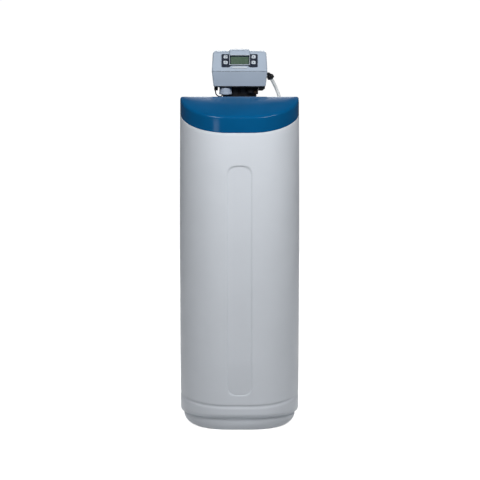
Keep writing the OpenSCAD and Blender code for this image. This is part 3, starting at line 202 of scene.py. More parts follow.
# finishes: each is built from noise at the size of the real grain (sizes in mm)
usualFinish = {
    "metal": 0.0, "shine": 0.5, "coat": 0.0, "coatRough": 0.1, "clear": 0.0, "soft": 0.0, "roughChange": 0.05,
    "cloud": 0.03, "cloudSize": 60, "cloudStretch": (1, 1, 1), "smearSize": 25, "fleckStretch": (1, 1, 1),
    "grain": 0.3, "grainSize": 0.8, "grainHeight": 0.03, "grainStretch": (1, 1, 1),
}
finishSet = {
    "cabinetWhite": {"colour": (0.755, 0.795, 0.85), "rough": 0.42, "cloud": 0.018, "cloudSize": 140,
                     "shine": 0.12, "grain": 0.35, "grainSize": 2.2, "grainHeight": 0.05, "smearSize": 60},
    "lidBlue": {"colour": (0.0004, 0.092, 0.246), "rough": 0.15, "cloud": 0.05, "cloudSize": 90,
                "shine": 0.3, "grain": 0.25, "grainSize": 1.6, "smearSize": 40},
    "headGrey": {"colour": (0.41, 0.485, 0.585), "rough": 0.46, "cloud": 0.02, "cloudSize": 50,
                 "grain": 0.6, "grainSize": 0.5},
    # coverGrey is headGrey painted about 15% lighter: painted light for the lower cover, which faces down
    "coverGrey": {"colour": (0.475, 0.555, 0.66), "rough": 0.46, "cloud": 0.02, "cloudSize": 50,
                  "grain": 0.6, "grainSize": 0.5},
    "valveBlack": {"colour": (0.012, 0.012, 0.013), "rough": 0.38, "cloud": 0.25, "cloudSize": 20,
                   "grain": 0.5, "grainSize": 0.6, "grainHeight": 0.04},
    "blackRubber": {"colour": (0.012, 0.012, 0.012), "rough": 0.62, "cloud": 0.2, "cloudSize": 8,
                    "grain": 0.5, "grainSize": 0.4, "grainHeight": 0.04, "shine": 0.35},
    "vesselBlue": {"colour": (0.02, 0.075, 0.2), "rough": 0.4, "cloud": 0.2, "cloudSize": 18,
                   "cloudStretch": (1, 1, 6), "fleck": (0.10, 0.20, 0.36), "fleckSize": 9,
                   "fleckStretch": (1, 1, 9), "grain": 0.8, "grainSize": 5, "grainStretch": (1, 1, 8),
                   "grainHeight": 0.3},
    "resinAmber": {"colour": (0.42, 0.2, 0.035), "rough": 0.35, "cloud": 0.35, "cloudSize": 1.0,
                   "grain": 1.0, "grainSize": 0.9, "grainHeight": 0.5},
    "naturalPlastic": {"colour": (0.74, 0.76, 0.74), "rough": 0.45, "soft": 0.15, "grainSize": 1.0},
    "gearPlastic": {"colour": (0.79, 0.78, 0.72), "rough": 0.36, "cloudSize": 12, "grain": 0.25,
                    "grainSize": 0.6},
    "pistonGrey": {"colour": (0.26, 0.28, 0.31), "rough": 0.3, "cloud": 0.06, "cloudSize": 10,
                   "grainSize": 0.4, "grainStretch": (1, 12, 1)},
    "refillBrown": {"colour": (0.035, 0.022, 0.015), "rough": 0.42, "cloud": 0.15, "cloudSize": 8,
                    "grain": 0.4},
    "clearTube": {"colour": (0.80, 0.83, 0.84), "rough": 0.3, "cloud": 0.04, "cloudSize": 12, "soft": 0.3,
                  "clear": 0.12, "grain": 0.2, "grainSize": 1.5},
    "cupGrey": {"colour": (0.42, 0.49, 0.6), "rough": 0.4, "cloudSize": 14, "grain": 0.4},
    "zincSteel": {"colour": (0.62, 0.62, 0.63), "rough": 0.33, "metal": 1.0, "cloud": 0.1, "cloudSize": 5,
                  "grain": 0.4, "grainSize": 0.5},
    "screenGreen": {"colour": (0.075, 0.125, 0.085), "rough": 0.22, "cloud": 0.06, "cloudSize": 30,
                    "coat": 0.6, "coatRough": 0.06, "grain": 0.15, "grainSize": 0.35},
    "overlayNavy": {"colour": (0.012, 0.019, 0.038), "rough": 0.32, "cloud": 0.1, "cloudSize": 20,
                    "grain": 0.35, "grainSize": 0.35},
    "keyGrey": {"colour": (0.56, 0.62, 0.68), "rough": 0.4, "cloudSize": 6, "grain": 0.4, "grainSize": 0.4},
    "boardGreen": {"colour": (0.01, 0.11, 0.045), "rough": 0.3, "cloud": 0.2, "cloudSize": 4, "coat": 0.3,
                   "fleck": (0.10, 0.34, 0.18), "fleckSize": 2.2, "grain": 0.4, "grainSize": 1.2},
}


def noise(tree, size, detail, stretch=(1, 1, 1)):
    coords, place, node = shaderNodes(tree, "TexCoord", "Mapping", "TexNoise")
    place.inputs["Scale"].default_value = [s / (size * mm) for s in stretch]
    node.inputs["Scale"].default_value = 1.0
    node.inputs["Detail"].default_value = detail
    return wire(tree, node, wire(tree, place, coords.outputs["Object"]))


def mixTones(tree, weight, first, second):
    # first and second are each a colour, or the output that gives one
    node = tree.nodes.new("ShaderNodeMix")
    node.data_type = "RGBA"
    wire(tree, node, weight)
    for socket, colour in ((node.inputs[6], first), (node.inputs[7], second)):
        if isinstance(colour, tuple):
            socket.default_value = (*colour, 1)
        else:
            tree.links.new(colour, socket)
    return node.outputs[2]


def finish(name, own):
    kit = {**usualFinish, **own}
    look = bpy.data.materials.new(name)
    look.use_nodes = True
    tree = look.node_tree
    tree.nodes.clear()
    out, skin, bump = shaderNodes(tree, "OutputMaterial", "BsdfPrincipled", "Bump")
    tree.links.new(skin.outputs[0], out.inputs["Surface"])
    for socket, key in (("Metallic", "metal"), ("Specular IOR Level", "shine"), ("Coat Weight", "coat"),
                        ("Coat Roughness", "coatRough"), ("Transmission Weight", "clear")):
        skin.inputs[socket].default_value = kit[key]
    if kit["soft"]:
        skin.inputs["Subsurface Weight"].default_value = kit["soft"]
        skin.inputs["Subsurface Radius"].default_value = (0.006, 0.006, 0.006)
    # colour: a little lighter and darker in clouds, with flecks where it has them
    cloud = spread(tree, noise(tree, kit["cloudSize"], 3.0, kit["cloudStretch"]), 0, 1)
    darker = tuple(c * (1 - kit["cloud"]) for c in kit["colour"])
    lighter = tuple(min(1, c * (1 + kit["cloud"])) for c in kit["colour"])
    colour = mixTones(tree, cloud, darker, lighter)
    if "fleck" in kit:
        speck = spread(tree, noise(tree, kit["fleckSize"], 1.0, kit["fleckStretch"]), 0, 0.5, 0.55, 0.7)
        colour = mixTones(tree, speck, colour, kit["fleck"])
    tree.links.new(colour, skin.inputs["Base Color"])
    smear = noise(tree, kit["smearSize"], 4.0)
    rough, change = kit["rough"], kit["roughChange"]
    tree.links.new(spread(tree, smear, rough - change, rough + change), skin.inputs["Roughness"])
    bump.inputs["Strength"].default_value = kit["grain"]
    bump.inputs["Distance"].default_value = kit["grainHeight"] * mm
    tree.links.new(noise(tree, kit["grainSize"], 2.0, kit["grainStretch"]), bump.inputs["Height"])
    tree.links.new(bump.outputs[0], skin.inputs["Normal"])
    return look


def camel(name):
    first, *others = name.split("_")
    return first + "".join(word.capitalize() for word in others)


looks = {name: finish(name, own) for name, own in finishSet.items()}
nodeSlot = {part["node"]: part["material_slot"] for part in frame["record"]["subparts"]}
for nodeName, solid in nodes.items():
    solid.data.materials.clear()
    solid.data.materials.append(looks[camel(nodeSlot[nodeName])])
print("finishes made:", len(looks))


# meshes: points are in mm from here on, and become metres where a mesh is made
def ringMesh(rows, caps=False, shape=None, unit=mm):
    # quads between closed rows of as many points each
    shape = bmesh.new() if shape is None else shape
    made = [[shape.verts.new(Vector(p) * unit) for p in row] for row in rows]
    count = len(rows[0])
    for low, high in zip(made, made[1:]):
        for k in range(count):
            j = (k + 1) % count
            shape.faces.new((low[k], low[j], high[j], high[k]))
    if caps:
        shape.faces.new(list(reversed(made[0])))
        shape.faces.new(made[-1])
    return shape


def circle(count):
    turns = [2 * math.pi * k / count for k in range(count)]
    return [(math.cos(a), math.sin(a)) for a in turns]


def ring(centre, side, other, r, count):
    return [centre + (side * c + other * s) * r for c, s in circle(count)]


def axesAlong(direction):
    way = Vector(direction).normalized()
    side = way.orthogonal().normalized()
    return way, side, way.cross(side)


def tubeAlong(shape, start, direction, length, outer, inner, soft, segments=32):
    # a ring-shaped barrel along a direction, with softened ends
    way, side, other = axesAlong(direction)
    profile = [(inner, soft), (inner + soft, 0), (outer - soft, 0), (outer, soft), (outer, length - soft),
               (outer - soft, length), (inner + soft, length), (inner, length - soft)]
    rows = [ring(Vector(start) + way * along, side, other, r, segments) for r, along in profile]
    ringMesh(rows + rows[:1], shape=shape)


def stretchCube(shape, low, high):
    low, high = Vector(low) * mm, Vector(high) * mm
    corners = bmesh.ops.create_cube(shape, size=1.0)["verts"]
    for corner in corners:
        corner.co = [a + (t + 0.5) * (b - a) for a, b, t in zip(low, high, corner.co)]
    return corners


def roundedBox(shape, low, high, r):
    edges = {edge: None for corner in stretchCube(shape, low, high) for edge in corner.link_edges}
    bmesh.ops.bevel(shape, geom=list(edges), offset=r * mm, segments=3, profile=0.5, affect="EDGES")


def addPiece(name, shape, look, node=None, body="root", smooth=True, crease=35):
    mesh = bpy.data.meshes.new(name)
    bmesh.ops.remove_doubles(shape, verts=shape.verts, dist=1e-6)
    bmesh.ops.recalc_face_normals(shape, faces=shape.faces)
    shape.to_mesh(mesh)
    shape.free()
    piece = bpy.data.objects.new(name, mesh)
    scene.collection.objects.link(piece)
    mesh.materials.append(looks[look])
    if smooth:
        for face in mesh.polygons:
            face.use_smooth = True
        mesh.set_sharp_from_angle(angle=math.radians(crease))
    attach(piece, body)
    if node:
        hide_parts(node)
    return piece


def softenCuts(piece, width=0.5, angle=50):
    edge = piece.modifiers.new("edges", "BEVEL")
    edge.width = width * mm
    edge.segments = 2
    edge.limit_method = "ANGLE"
    edge.angle_limit = math.radians(angle)
    edge.use_clamp_overlap = True
    even = piece.modifiers.new("even", "WEIGHTED_NORMAL")
    even.keep_sharp = True
    even.weight = 50


def ease(t):
    t = min(1.0, max(0.0, t))
    return t * t * (3 - 2 * t)


# cabinet: one closed skin from the underside, up the outside, over the rim and down to the inner floor
cabinetSet = {
    "width": 345.0, "front": -250.0, "back": 222.0, "frontR": 141.0, "backR": 40.0,
    "wall": 4.0, "floor": 14.0, "rim": 906.0, "slope": 17.5, "hinge": -109.0,
    "recess": 63.0, "recessHigh": 8.0,
    "plinthIn": 12.0, "plinthTop": 35.0, "plinthR": 33.0, "plinthReach": (14.0, 36.0), "plinthCurve": 1.85,
    "joint": ((-5, 0.0), (-1, 0.2), (0.4, 1.0), (1.4, 1.6), (2.4, 1.3), (3.1, 0.0), (3.4, -1.2)),
    "bandR": 11.0, "bandLow": 38.5, "bandLift": (50, 62, 90, 150),
    "groove": 72.5, "grooveRise": 9.5, "grooveDeep": 2.6, "grooveFall": 10.0, "grooveLip": 2.2,
    "grooveRows": (-14, -11, -9, -7.5, -6, -4.5, -3, -1.5, -0.6, 0, 0.6, 1.2, 1.9, 2.7, 3.6, 5, 8),
    "stripHalf": 36.0, "stripLow": 102.0, "stripHigh": 768.0, "stripR": 26.0, "stripReach": 60.0,
    "stripDeep": 3.1, "stripWall": 4.6, "stripEdge": 0.8,
    "stripRows": (-9, -6, -3, -1.5, 0, 1.5, 3, 4.5, 6, 8, 10, 12.5, 15, 18, 21.5, 25, 30),
    "middle": 450.0, "topTaper": (1.3, 456.0), "baseTaper": (2.2, 400.0),
    "ledge": 18.0, "lipHigh": 9.8, "lipIn": 5.2, "lipOut": 8.2, "lipEnd": -115.0,
}


def planStations():
    # places round the plan: a part of it, how far along that part, and the side
    half = [("face", t) for t in (0, 0.25, 0.5, 0.7, 0.82, 0.91)]
    half += [("corner", k / 156) for k in range(9)]
    half += [("corner", k / 52) for k in range(3, 16)]
    half += [("corner", k / 26) for k in range(8, 26)]
    half += [("flank", k / 16) for k in range(16)]
    half += [("heel", k / 8) for k in range(8)]
    half += [("rear", k / 6) for k in range(7)]
    loop = [(part, t, 1) for part, t in half]
    return loop + [(part, t, -1) for part, t in reversed(half[1:-1])]


def planPoint(kit, station, inset):
    part, t, side = station
    half = kit["width"] / 2 - inset
    rf = kit["frontR"] - inset
    rb = max(kit["backR"] - inset, 1.0)
    low = kit["front"] + inset
    high = kit["back"] - inset
    a = t * math.pi / 2
    if part == "face":
        x, y = t * (half - rf), low
    elif part == "corner":
        x, y = half - rf + rf * math.sin(a), low + rf - rf * math.cos(a)
    elif part == "flank":
        x, y = half, low + rf + t * (high - rb - low - rf)
    elif part == "heel":
        x, y = half - rb + rb * math.cos(a), high - rb + rb * math.sin(a)
    else:
        x, y = (1 - t) * (half - rb), high
    return side * x, y


def rimHeight(kit, y):
    return kit["rim"] + min(0.0, y - kit["hinge"]) * math.tan(math.radians(kit["slope"]))


def bandLift(kit, y, z):
    # the groove climbs from the front to the hinge line, and the rows near it climb with it
    rise = min(y - kit["front"], kit["frontR"]) * math.tan(math.radians(kit["grooveRise"]))
    start, full, keep, end = kit["bandLift"]
    return rise * min(ease((z - start) / (full - start)), ease((end - z) / (end - keep)))


def grooveDepth(kit, away):
    if away > 0:
        return kit["grooveDeep"] * math.exp(-((away / kit["grooveLip"]) ** 2))
    return kit["grooveDeep"] * (1 - ease(-away / kit["grooveFall"]))


def stripDepth(kit, x, y, z):
    # the strip is a rounded rectangle on the front; away is how far outside it a point is
    if y > kit["front"] + kit["stripReach"]:
        return 0.0
    low, high, r = kit["stripLow"], kit["stripHigh"], kit["stripR"]
    dx = abs(x) - kit["stripHalf"] + r
    dz = abs(z - (low + high) / 2) - (high - low) / 2 + r
    away = math.hypot(max(dx, 0), max(dz, 0)) + min(max(dx, dz), 0) - r
    return kit["stripDeep"] * ease((kit["stripEdge"] - away) / kit["stripWall"])


def wallTaper(kit, z):
    above = z - kit["middle"]
    most, span = kit["topTaper"] if above > 0 else kit["baseTaper"]
    return most * (above / span) ** 2


def plinthReach(kit, station):
    # the bottom is rounded far more at the sides than at the front
    front, side = kit["plinthReach"]
    part, t, hand = station
    share = {"face": 0.0, "corner": t, "flank": 1.0, "heel": 1 - t, "rear": 0.0}[part]
    return front + (side - front) * ease(share)


def cabinetRows(kit):
    # (kind, level, inset) for each row; cabinetPoint says what the kinds do
    recess, wall, edge = kit["recess"], kit["wall"], kit["plinthIn"]
    rows = [("flat", kit["recessHigh"], recess), ("flat", 1.5, recess), ("flat", 0.0, recess - 1.5)]
    power = 2 / kit["plinthCurve"]
    for k in range(13):
        a = k / 12 * math.pi / 2
        rows.append(("bowl", kit["plinthR"] * (1 - math.cos(a) ** power), 1 - math.sin(a) ** power))
    rows += [("flat", kit["plinthTop"] + rise, edge + inset) for rise, inset in kit["joint"]]
    start, r = kit["bandLow"], kit["bandR"]
    taper = wallTaper(kit, start + r)
    for k in range(9):
        a = k / 8 * math.pi / 2
        rows.append(("flat", start + r * (1 - math.cos(a)), taper + r * (1 - math.sin(a))))
    low, high, bends = kit["stripLow"], kit["stripHigh"], kit["stripRows"]
    first, last = low + bends[-1], high - bends[-1]
    heights = [54] + [kit["groove"] + d for d in kit["grooveRows"]]
    heights += [low + d for d in bends if low + d > heights[-1] + 1]
    heights += [first + (last - first) * k / 18 for k in range(1, 18)]
    heights += [high - d for d in reversed(bends)]
    rows += [("wall", z, 0.0) for z in heights]
    rows += [("rise", t, 0.0) for t in (0.25, 0.5, 0.75, 0.9)]
    # rim, sealing lip and the ledge inside it
    lipIn, lipOut, ledge = kit["lipIn"], kit["lipOut"], kit["ledge"]
    rows += [("rim", -2.0, 0.0), ("rim", -0.7, 0.35), ("rim", 0.0, 1.6), ("rim", 0.0, lipIn - 0.6)]
    rows += [("lip", 0.05, lipIn), ("lip", 0.88, lipIn), ("lip", 1.0, lipIn + 0.8)]
    rows += [("lip", 1.0, lipOut - 0.6), ("lip", 0.9, lipOut), ("rim", 1 - ledge, lipOut)]
    rows += [("rim", -ledge, lipOut - 1), ("rim", -ledge - 2, wall)]
    # inside
    inner, floor = edge + wall, kit["floor"]
    rows += [("flat", z, wall) for z in (700, 400, 60)]
    rows += [("flat", 44, wall + 3), ("flat", 41, inner - 2), ("flat", 38, inner)]
    rows += [("flat", floor + 6, inner), ("flat", floor + 1, inner + 3), ("flat", floor, inner + 8)]
    return rows


def cabinetPoint(kit, station, row):
    kind, level, inset = row
    x, y = planPoint(kit, station, 0)
    z, rim = level, rimHeight(kit, y)
    outside = kind in ("wall", "rise") or (kind == "rim" and inset < 2)
    if kind == "bowl":
        inset = kit["plinthIn"] + plinthReach(kit, station) * inset
    elif kind == "wall":
        z = level + bandLift(kit, y, level)
    elif kind == "rise":
        start = kit["stripHigh"] - kit["stripRows"][0]
        z = start + level * (rim - 2 - start)
    elif kind == "lip":
        z = rim + level * kit["lipHigh"] * ease((kit["lipEnd"] - y) / 3)
    elif kind == "rim":
        z = rim + level
    if outside:
        inset += wallTaper(kit, z)
    if kind == "wall":
        inset += grooveDepth(kit, level - kit["groove"]) + stripDepth(kit, x, y, z)
    return (*planPoint(kit, station, inset), z)


def addCabinet(kit):
    loop = planStations()
    rows = [[cabinetPoint(kit, station, row) for station in loop] for row in cabinetRows(kit)]
    addPiece("cabinetShell", ringMesh(rows, caps=True), "cabinetWhite", "cabinet", crease=50)


addCabinet(cabinetSet)
print("cabinet made")

# lid: a crowned D-shaped cover with a rolled edge, its inside and its two hinge barrels
lidSet = {
    "high": 47.0, "thick": 3.0, "inset": 1.5, "edgeR": 8.0, "backR": 1.4, "innerBackR": 1.0, "gap": 0.3,
    "crown": 4.0, "backLow": 912.3, "centre": (0.0, -165.0),
    "rings": (0.06, 0.14, 0.25, 0.4, 0.56, 0.72, 0.86, 0.95),
    "axis": (-101.0, 920.0), "hingeX": 95.0, "barrelR": 6.0, "boreR": 3.05, "barrelWide": 20.0,
}


def lidStations():
    right = [("face", k / 5, 1) for k in range(5)] + [("corner", k / 30, 1) for k in range(31)]
    back = [("back", 1 - k / 12, 1) for k in range(1, 24)]
    left = [(part, t, -1) for part, t, side in reversed(right[1:])]
    return right + back + left


def lidOutline(box, station, inset, backIn):
    part, t, side = station
    edge = box["hinge"] - backIn
    if part == "back":
        return (box["width"] / 2 - inset) * t, edge
    x, y = planPoint(box, station, inset)
    return x, min(y, edge)


def lidTop(kit, box, x, y):
    # crown: level near the hinge, steeper towards the front
    reach = box["frontR"] - kit["inset"] - kit["edgeR"]
    over = max(0.0, abs(x) - (box["width"] / 2 - box["frontR"]))
    depth = math.sqrt(max(1.0, reach * reach - over * over))
    t = min(1.0, max(0.0, (box["hinge"] - y) / depth))
    return 4 * t * (1 - t) * kit["crown"] * min(1.0, depth / reach)


def lidRows(kit, box, skin):
    # up the wall, over the rolled edge and in to the middle, at a skin's depth below the outer face
    inset, high, edgeR = kit["inset"] + skin, kit["high"] - skin, kit["edgeR"] - skin
    low, backR = kit["gap"], kit["innerBackR"] if skin else kit["backR"]
    loop = lidStations()
    slope = math.tan(math.radians(box["slope"]))

    def sloped(y, rise):
        return box["rim"] + (y - box["hinge"]) * slope + rise

    rows = []
    for rise in (low, low + (high - low) * 0.4, high - edgeR):
        row = []
        for station in loop:
            x, y = lidOutline(box, station, inset, skin)
            z = sloped(y, rise)
            row.append((x, y, max(z, kit["backLow"]) if station[0] == "back" else z))
        rows.append(row)
    steps = 7
    for k in range(1, steps + 1):
        a = math.radians(80) * k / steps
        roll = 1 - math.cos(a)
        row = []
        for station in loop:
            x, y = lidOutline(box, station, inset + edgeR * roll, skin + backR * roll)
            row.append((x, y, sloped(y, high - edgeR * (1 - math.sin(a))) + lidTop(kit, box, x, y)))
        rows.append(row)
    edgeRow = rows[-1]
    midX, midY = kit["centre"]
    for share in kit["rings"]:
        row = []
        for x, y, z in edgeRow:
            x, y = x + (midX - x) * share, y + (midY - y) * share
            row.append((x, y, sloped(y, high) + lidTop(kit, box, x, y)))
        rows.append(row)
    return rows


def addLid(kit, box):
    shape = ringMesh(lidRows(kit, box, 0)[::-1] + lidRows(kit, box, kit["thick"]), caps=True)
    axisY, axisZ = kit["axis"]
    wide = kit["barrelWide"]
    for side in (-1, 1):
        x = side * kit["hingeX"] - wide / 2
        tubeAlong(shape, (x, axisY, axisZ), (1, 0, 0), wide, kit["barrelR"], kit["boreR"], 0.6)
        roundedBox(shape, (x + 1, box["hinge"] - 1.5, axisZ - 2.5),
                   (x + wide - 1, axisY - 3.4, axisZ + 4.5), 0.8)
    addPiece("saltLid", shape, "lidBlue", "salt_lid", "lid", crease=50)


addLid(lidSet, cabinetSet)
print("lid made")

# head: three covers cut from one rounded form, in the valve's own frame
headSet = {
    "origin": (0.0, 74.0, 972.0), "tilt": 23.2, "ridge": (-76.0, 44.0), "skin": 2.5, "skinLow": 2.0,
    "seam": 1.1, "split": 21.0, "leastR": 0.2, "far": 400.0,
    "profile": {  # y, z and half the width
        "foot": (-66.0, 0.0, 76.0), "ridge": (-76.0, 44.0, 81.0), "brow": (-51.86, 100.3, 77.5),
        "crown": (78.0, 93.5, 77.5), "rear": (78.0, 44.0, 79.0), "heel": (78.0, 0.0, 76.0),
    },
    "across": {"ridge": 2.2, "brow": 9.0, "crown": 9.0, "rear": 0.0},
    "along": {"foot": 4.5, "ridge": 6.5, "brow": 9.0, "crown": 7.5, "rear": 6.0},
    "elbow": (-12.0, 30.8, 5.8), "ports": (38.0, 13.0, 21.0), "drain": (36.0, 16.4),
    "socket": (47.0, 74.0, 5.6), "screwX": (-67.0, 67.0), "screwZ": (10.0, 76.0), "screwR": 1.7, "postR": 4.0,
}
# slanted panel: window, keypad and hood places, in the panel's own frame: x across, v up, n out
panelSet = {
    "window": (57.0, 20.4, 47.2), "windowR": 0.6, "lip": (22.6, 8.8, 14.2, 1.7), "lipSlant": 3.2,
    "hoodHalf": 30.0, "hoodLow": 18.6, "hoodEdge": 4.5, "hoodThin": 2.0, "hoodProud": 4.95, "hoodSunk": 0.4,
    "hoodFull": 46.0, "hoodBack": 20.3, "hoodTop": 105.0, "topLean": 2.985, "bend": (-46.06, 91.0, 9.0),
    "glassDeep": (0.3, 1.3), "frame": 1.3, "bezel": (2.7, 3.2, 1.4),
    "holeGap": 0.6, "holeDeep": 9.0, "hoodCut": (-9.0, 12.0), "overlayCut": (-3.0, 6.0),
    "overlay": (52.6, 12.3, 52.3, 2.6, 1.2), "notch": (32.0, 23.4, 16.9),
}
keySet = {
    "wide": 12.0, "high": 10.5, "x": 40.6, "v": (26.45, 43.65), "out": 2.4, "gap": 0.35, "r": 3.4,
    "crown": 0.5, "signOut": 0.12, "flange": (1.2, 2.6, 3.9), "stem": (2.0, -9.2),
    "keys": (
        {"name": "clock", "side": -1, "row": 1, "sign": "clock"},
        {"name": "menu", "side": -1, "row": 0, "sign": "bars"},
        {"name": "up", "side": 1, "row": 1, "sign": "up"},
        {"name": "down", "side": 1, "row": 0, "sign": "down"},
    ),
}


def valvePoint(x, y, z):
    return Vector((x, y, z)) + Vector(headSet["origin"])


def panelPoint(x, v, n):
    lean = math.radians(headSet["tilt"])
    y, z = headSet["ridge"]
    y += v * math.sin(lean) - n * math.cos(lean)
    z += v * math.cos(lean) + n * math.sin(lean)
    return valvePoint(x, y, z)


def panelPlace():
    # the panel's own frame, with its origin on the ridge line
    lean = math.radians(headSet["tilt"])
    across = Vector((1, 0, 0))
    up = Vector((0, math.sin(lean), math.cos(lean)))
    out = Vector((0, -math.cos(lean), math.sin(lean)))
    turn = Matrix((across, up, out)).transposed().to_4x4()
    turn.translation = panelPoint(0, 0, 0) * mm
    return turn


def loose(name, shape):
    # a mesh object that is cut, or cuts others, and isn't shown
    mesh = bpy.data.meshes.new(name)
    bmesh.ops.recalc_face_normals(shape, faces=shape.faces)
    shape.to_mesh(mesh)
    shape.free()
    return bpy.data.objects.new(name, mesh)


def carve(base, cuts=(), within=None):
    # the base's part within one form, less each cut
    tools = [(within, "INTERSECT")] if within else []
    tools += [(cut, "DIFFERENCE") for cut in cuts]
    things = [base] + [tool for tool, way in tools]
    holder = bpy.data.collections.new("carving")
    scene.collection.children.link(holder)
    for thing in things:
        holder.objects.link(thing)
    for tool, way in tools:
        step = base.modifiers.new("cut", "BOOLEAN")
        step.operation = way
        step.object = tool
        step.solver = "EXACT"
    bpy.context.view_layer.update()
    shape = bmesh.new()
    shape.from_object(base, bpy.context.evaluated_depsgraph_get())
    for thing in things:
        holder.objects.unlink(thing)
    bpy.data.collections.remove(holder)
    base.modifiers.clear()
    return shape


def blockCutter(name, low, high, place=None):
    shape = bmesh.new()
    stretchCube(shape, low, high)
    block = loose(name, shape)
    if place:
        block.data.transform(place)
    return block


def rodCutter(name, start, direction, length, r):
    # worked out in metres: the bevels round the cuts feel the rounding
    way, side, other = axesAlong(direction)
    rows = [ring(start * mm + way * along, side, other, r * mm, 40) for along in (0, length * mm)]
    return loose(name, ringMesh(rows, caps=True, unit=1.0))


def headForm(kit, name, skin):
    # the plain angular form, a skin smaller, with a bevel of its own along each edge
    shape = bmesh.new()
    weight = shape.edges.layers.float.new("bevel_weight_edge")
    drop = {"foot": kit["skinLow"], "heel": kit["skinLow"], "brow": skin, "crown": skin} if skin else {}
    points = {}
    for spot, (y, z, half) in kit["profile"].items():
        y += skin if y < 0 else -skin
        for side in (-1, 1):
            place = valvePoint(side * (half - skin), y, z - drop.get(spot, 0))
            points[spot, side] = shape.verts.new(place * mm)
    order = list(kit["profile"])
    for first, second in zip(order, order[1:] + order[:1]):
        shape.faces.new((points[first, -1], points[first, 1], points[second, 1], points[second, -1]))
    for side in (-1, 1):
        for around in (("foot", "ridge", "rear", "heel"), ("ridge", "brow", "crown", "rear")):
            shape.faces.new([points[spot, side] for spot in around])
    edges = [(points[spot, -1], points[spot, 1], r) for spot, r in kit["across"].items()]
    for first, second in zip(order, order[1:]):
        edges += [(points[first, side], points[second, side], kit["along"][first]) for side in (-1, 1)]
    widest = max(r for first, second, r in edges)
    for first, second, r in edges:
        shape.edges.get((first, second))[weight] = max(kit["leastR"], r - skin) / widest if r else 0.0
    form = loose(name, shape)
    bevel = form.modifiers.new("bevel", "BEVEL")
    bevel.width = widest * mm
    bevel.limit_method = "WEIGHT"
    bevel.segments = 7
    return loose(name + "Soft", carve(form))


def keyPlaces(keys):
    return [(side * keys["x"], v) for side in (-1, 1) for v in keys["v"]]


def panelHoles(panel, keys):
    wide, low, high = panel["window"]
    gap, deep = panel["holeGap"], panel["holeDeep"]
    half, place = wide / 2 + gap, panelPlace()
    holes = [blockCutter("windowHole", (-half, low - gap, -deep), (half, high + gap, deep), place)]
    hx, hv = keys["wide"] / 2 + keys["gap"], keys["high"] / 2 + keys["gap"]
    for x, v in keyPlaces(keys):
        holes.append(blockCutter("keyHole", (x - hx, v - hv, -deep), (x + hx, v + hv, deep), place))
    return holes


def addLip(panel):
    # finger lip under the keypad, in the pale key grey as a painted highlight along its upper face
    half, low, high, out = panel["lip"]
    rows = []
    for n, shrink in ((-1.0, 0.0), (out - 0.7, 0.0), (out - 0.2, 0.25), (out, 0.9)):
        wide, bottom, top = half - shrink, low + shrink, high - shrink
        narrow = wide - panel["lipSlant"]
        corners = ((-wide, bottom), (wide, bottom), (narrow, top), (-narrow, top))
        rows.append([panelPoint(x, v, n) for x, v in corners])
    # keyGrey on the lip is a painted highlight, paler than the head grey it sits in
    addPiece("fingerLip", ringMesh(rows, caps=True), "keyGrey")


def addCovers(kit, panel, keys):
    skin = loose("headSkin", carve(headForm(kit, "headOuter", 0), [headForm(kit, "headInner", kit["skin"])]))
    far, gap = kit["far"], kit["seam"] / 2
    split, rise = kit["split"], kit["ridge"][1]

    def room(name, low, high):
        return blockCutter(name, valvePoint(*low), valvePoint(*high))

    def bore(name, x, y, z, r, length):
        return rodCutter(name, valvePoint(x, y, z), (0, 1, 0), length, r)

    # lower cover, with the way out for the elbow, in coverGrey: the head's grey painted lighter, as painted
    # light on this down-facing cover
    y, z, r = kit["elbow"]
    cuts = [rodCutter("elbowHole", valvePoint(40, y, z), (1, 0, 0), 80, r)]
    lower = room("lowerRoom", (-far, -far, -1), (far, split - gap, rise - gap))
    softenCuts(addPiece("lowerCover", carve(skin, cuts, lower), "coverGrey", "lower_cover"))
    # display cover, with its window and key holes
    upper = room("upperRoom", (-far, -far, rise + gap), (far, split - gap, far))
    shape = carve(skin, panelHoles(panel, keys), upper)
    softenCuts(addPiece("displayCover", shape, "headGrey", "display_cover"))
    addLip(panel)
    # rear cover, open for the pipes, the drain and the socket, with a post at each screw
    cuts = []
    x, z, r = kit["ports"]
    for side in (-1, 1):
        cuts.append(bore("portHole", side * x, split, z, r, 200))
        cuts.append(room("portSlot", (side * x - r, split + 20, -3), (side * x + r, 100, z)))
    z, r = kit["drain"]
    cuts.append(bore("drainHole", 0, split, z, r, 200))
    x, z, r = kit["socket"]
    cuts.append(bore("socketHole", x, split + 40, z, r, 100))
    screws = [(x, z) for z in kit["screwZ"] for x in kit["screwX"]]
    cuts += [bore("screwHole", x, 60, z, kit["screwR"], 100) for x, z in screws]
    rear = room("rearRoom", (-far, split + gap, -1), (far, far, far))
    shape = carve(skin, cuts, rear)
    for x, z in screws:
        tubeAlong(shape, valvePoint(x, 64, z), (0, 1, 0), 13, kit["postR"], kit["screwR"], 0.3)
    softenCuts(addPiece("rearCover", shape, "headGrey", "rear_cover"))


def hoodHeight(panel, v):
    # thin below the window, proud at the brow
    low, thin = panel["hoodLow"], panel["hoodThin"]
    return thin + (panel["hoodProud"] - thin) * ease((v - low) / (panel["hoodFull"] - low))


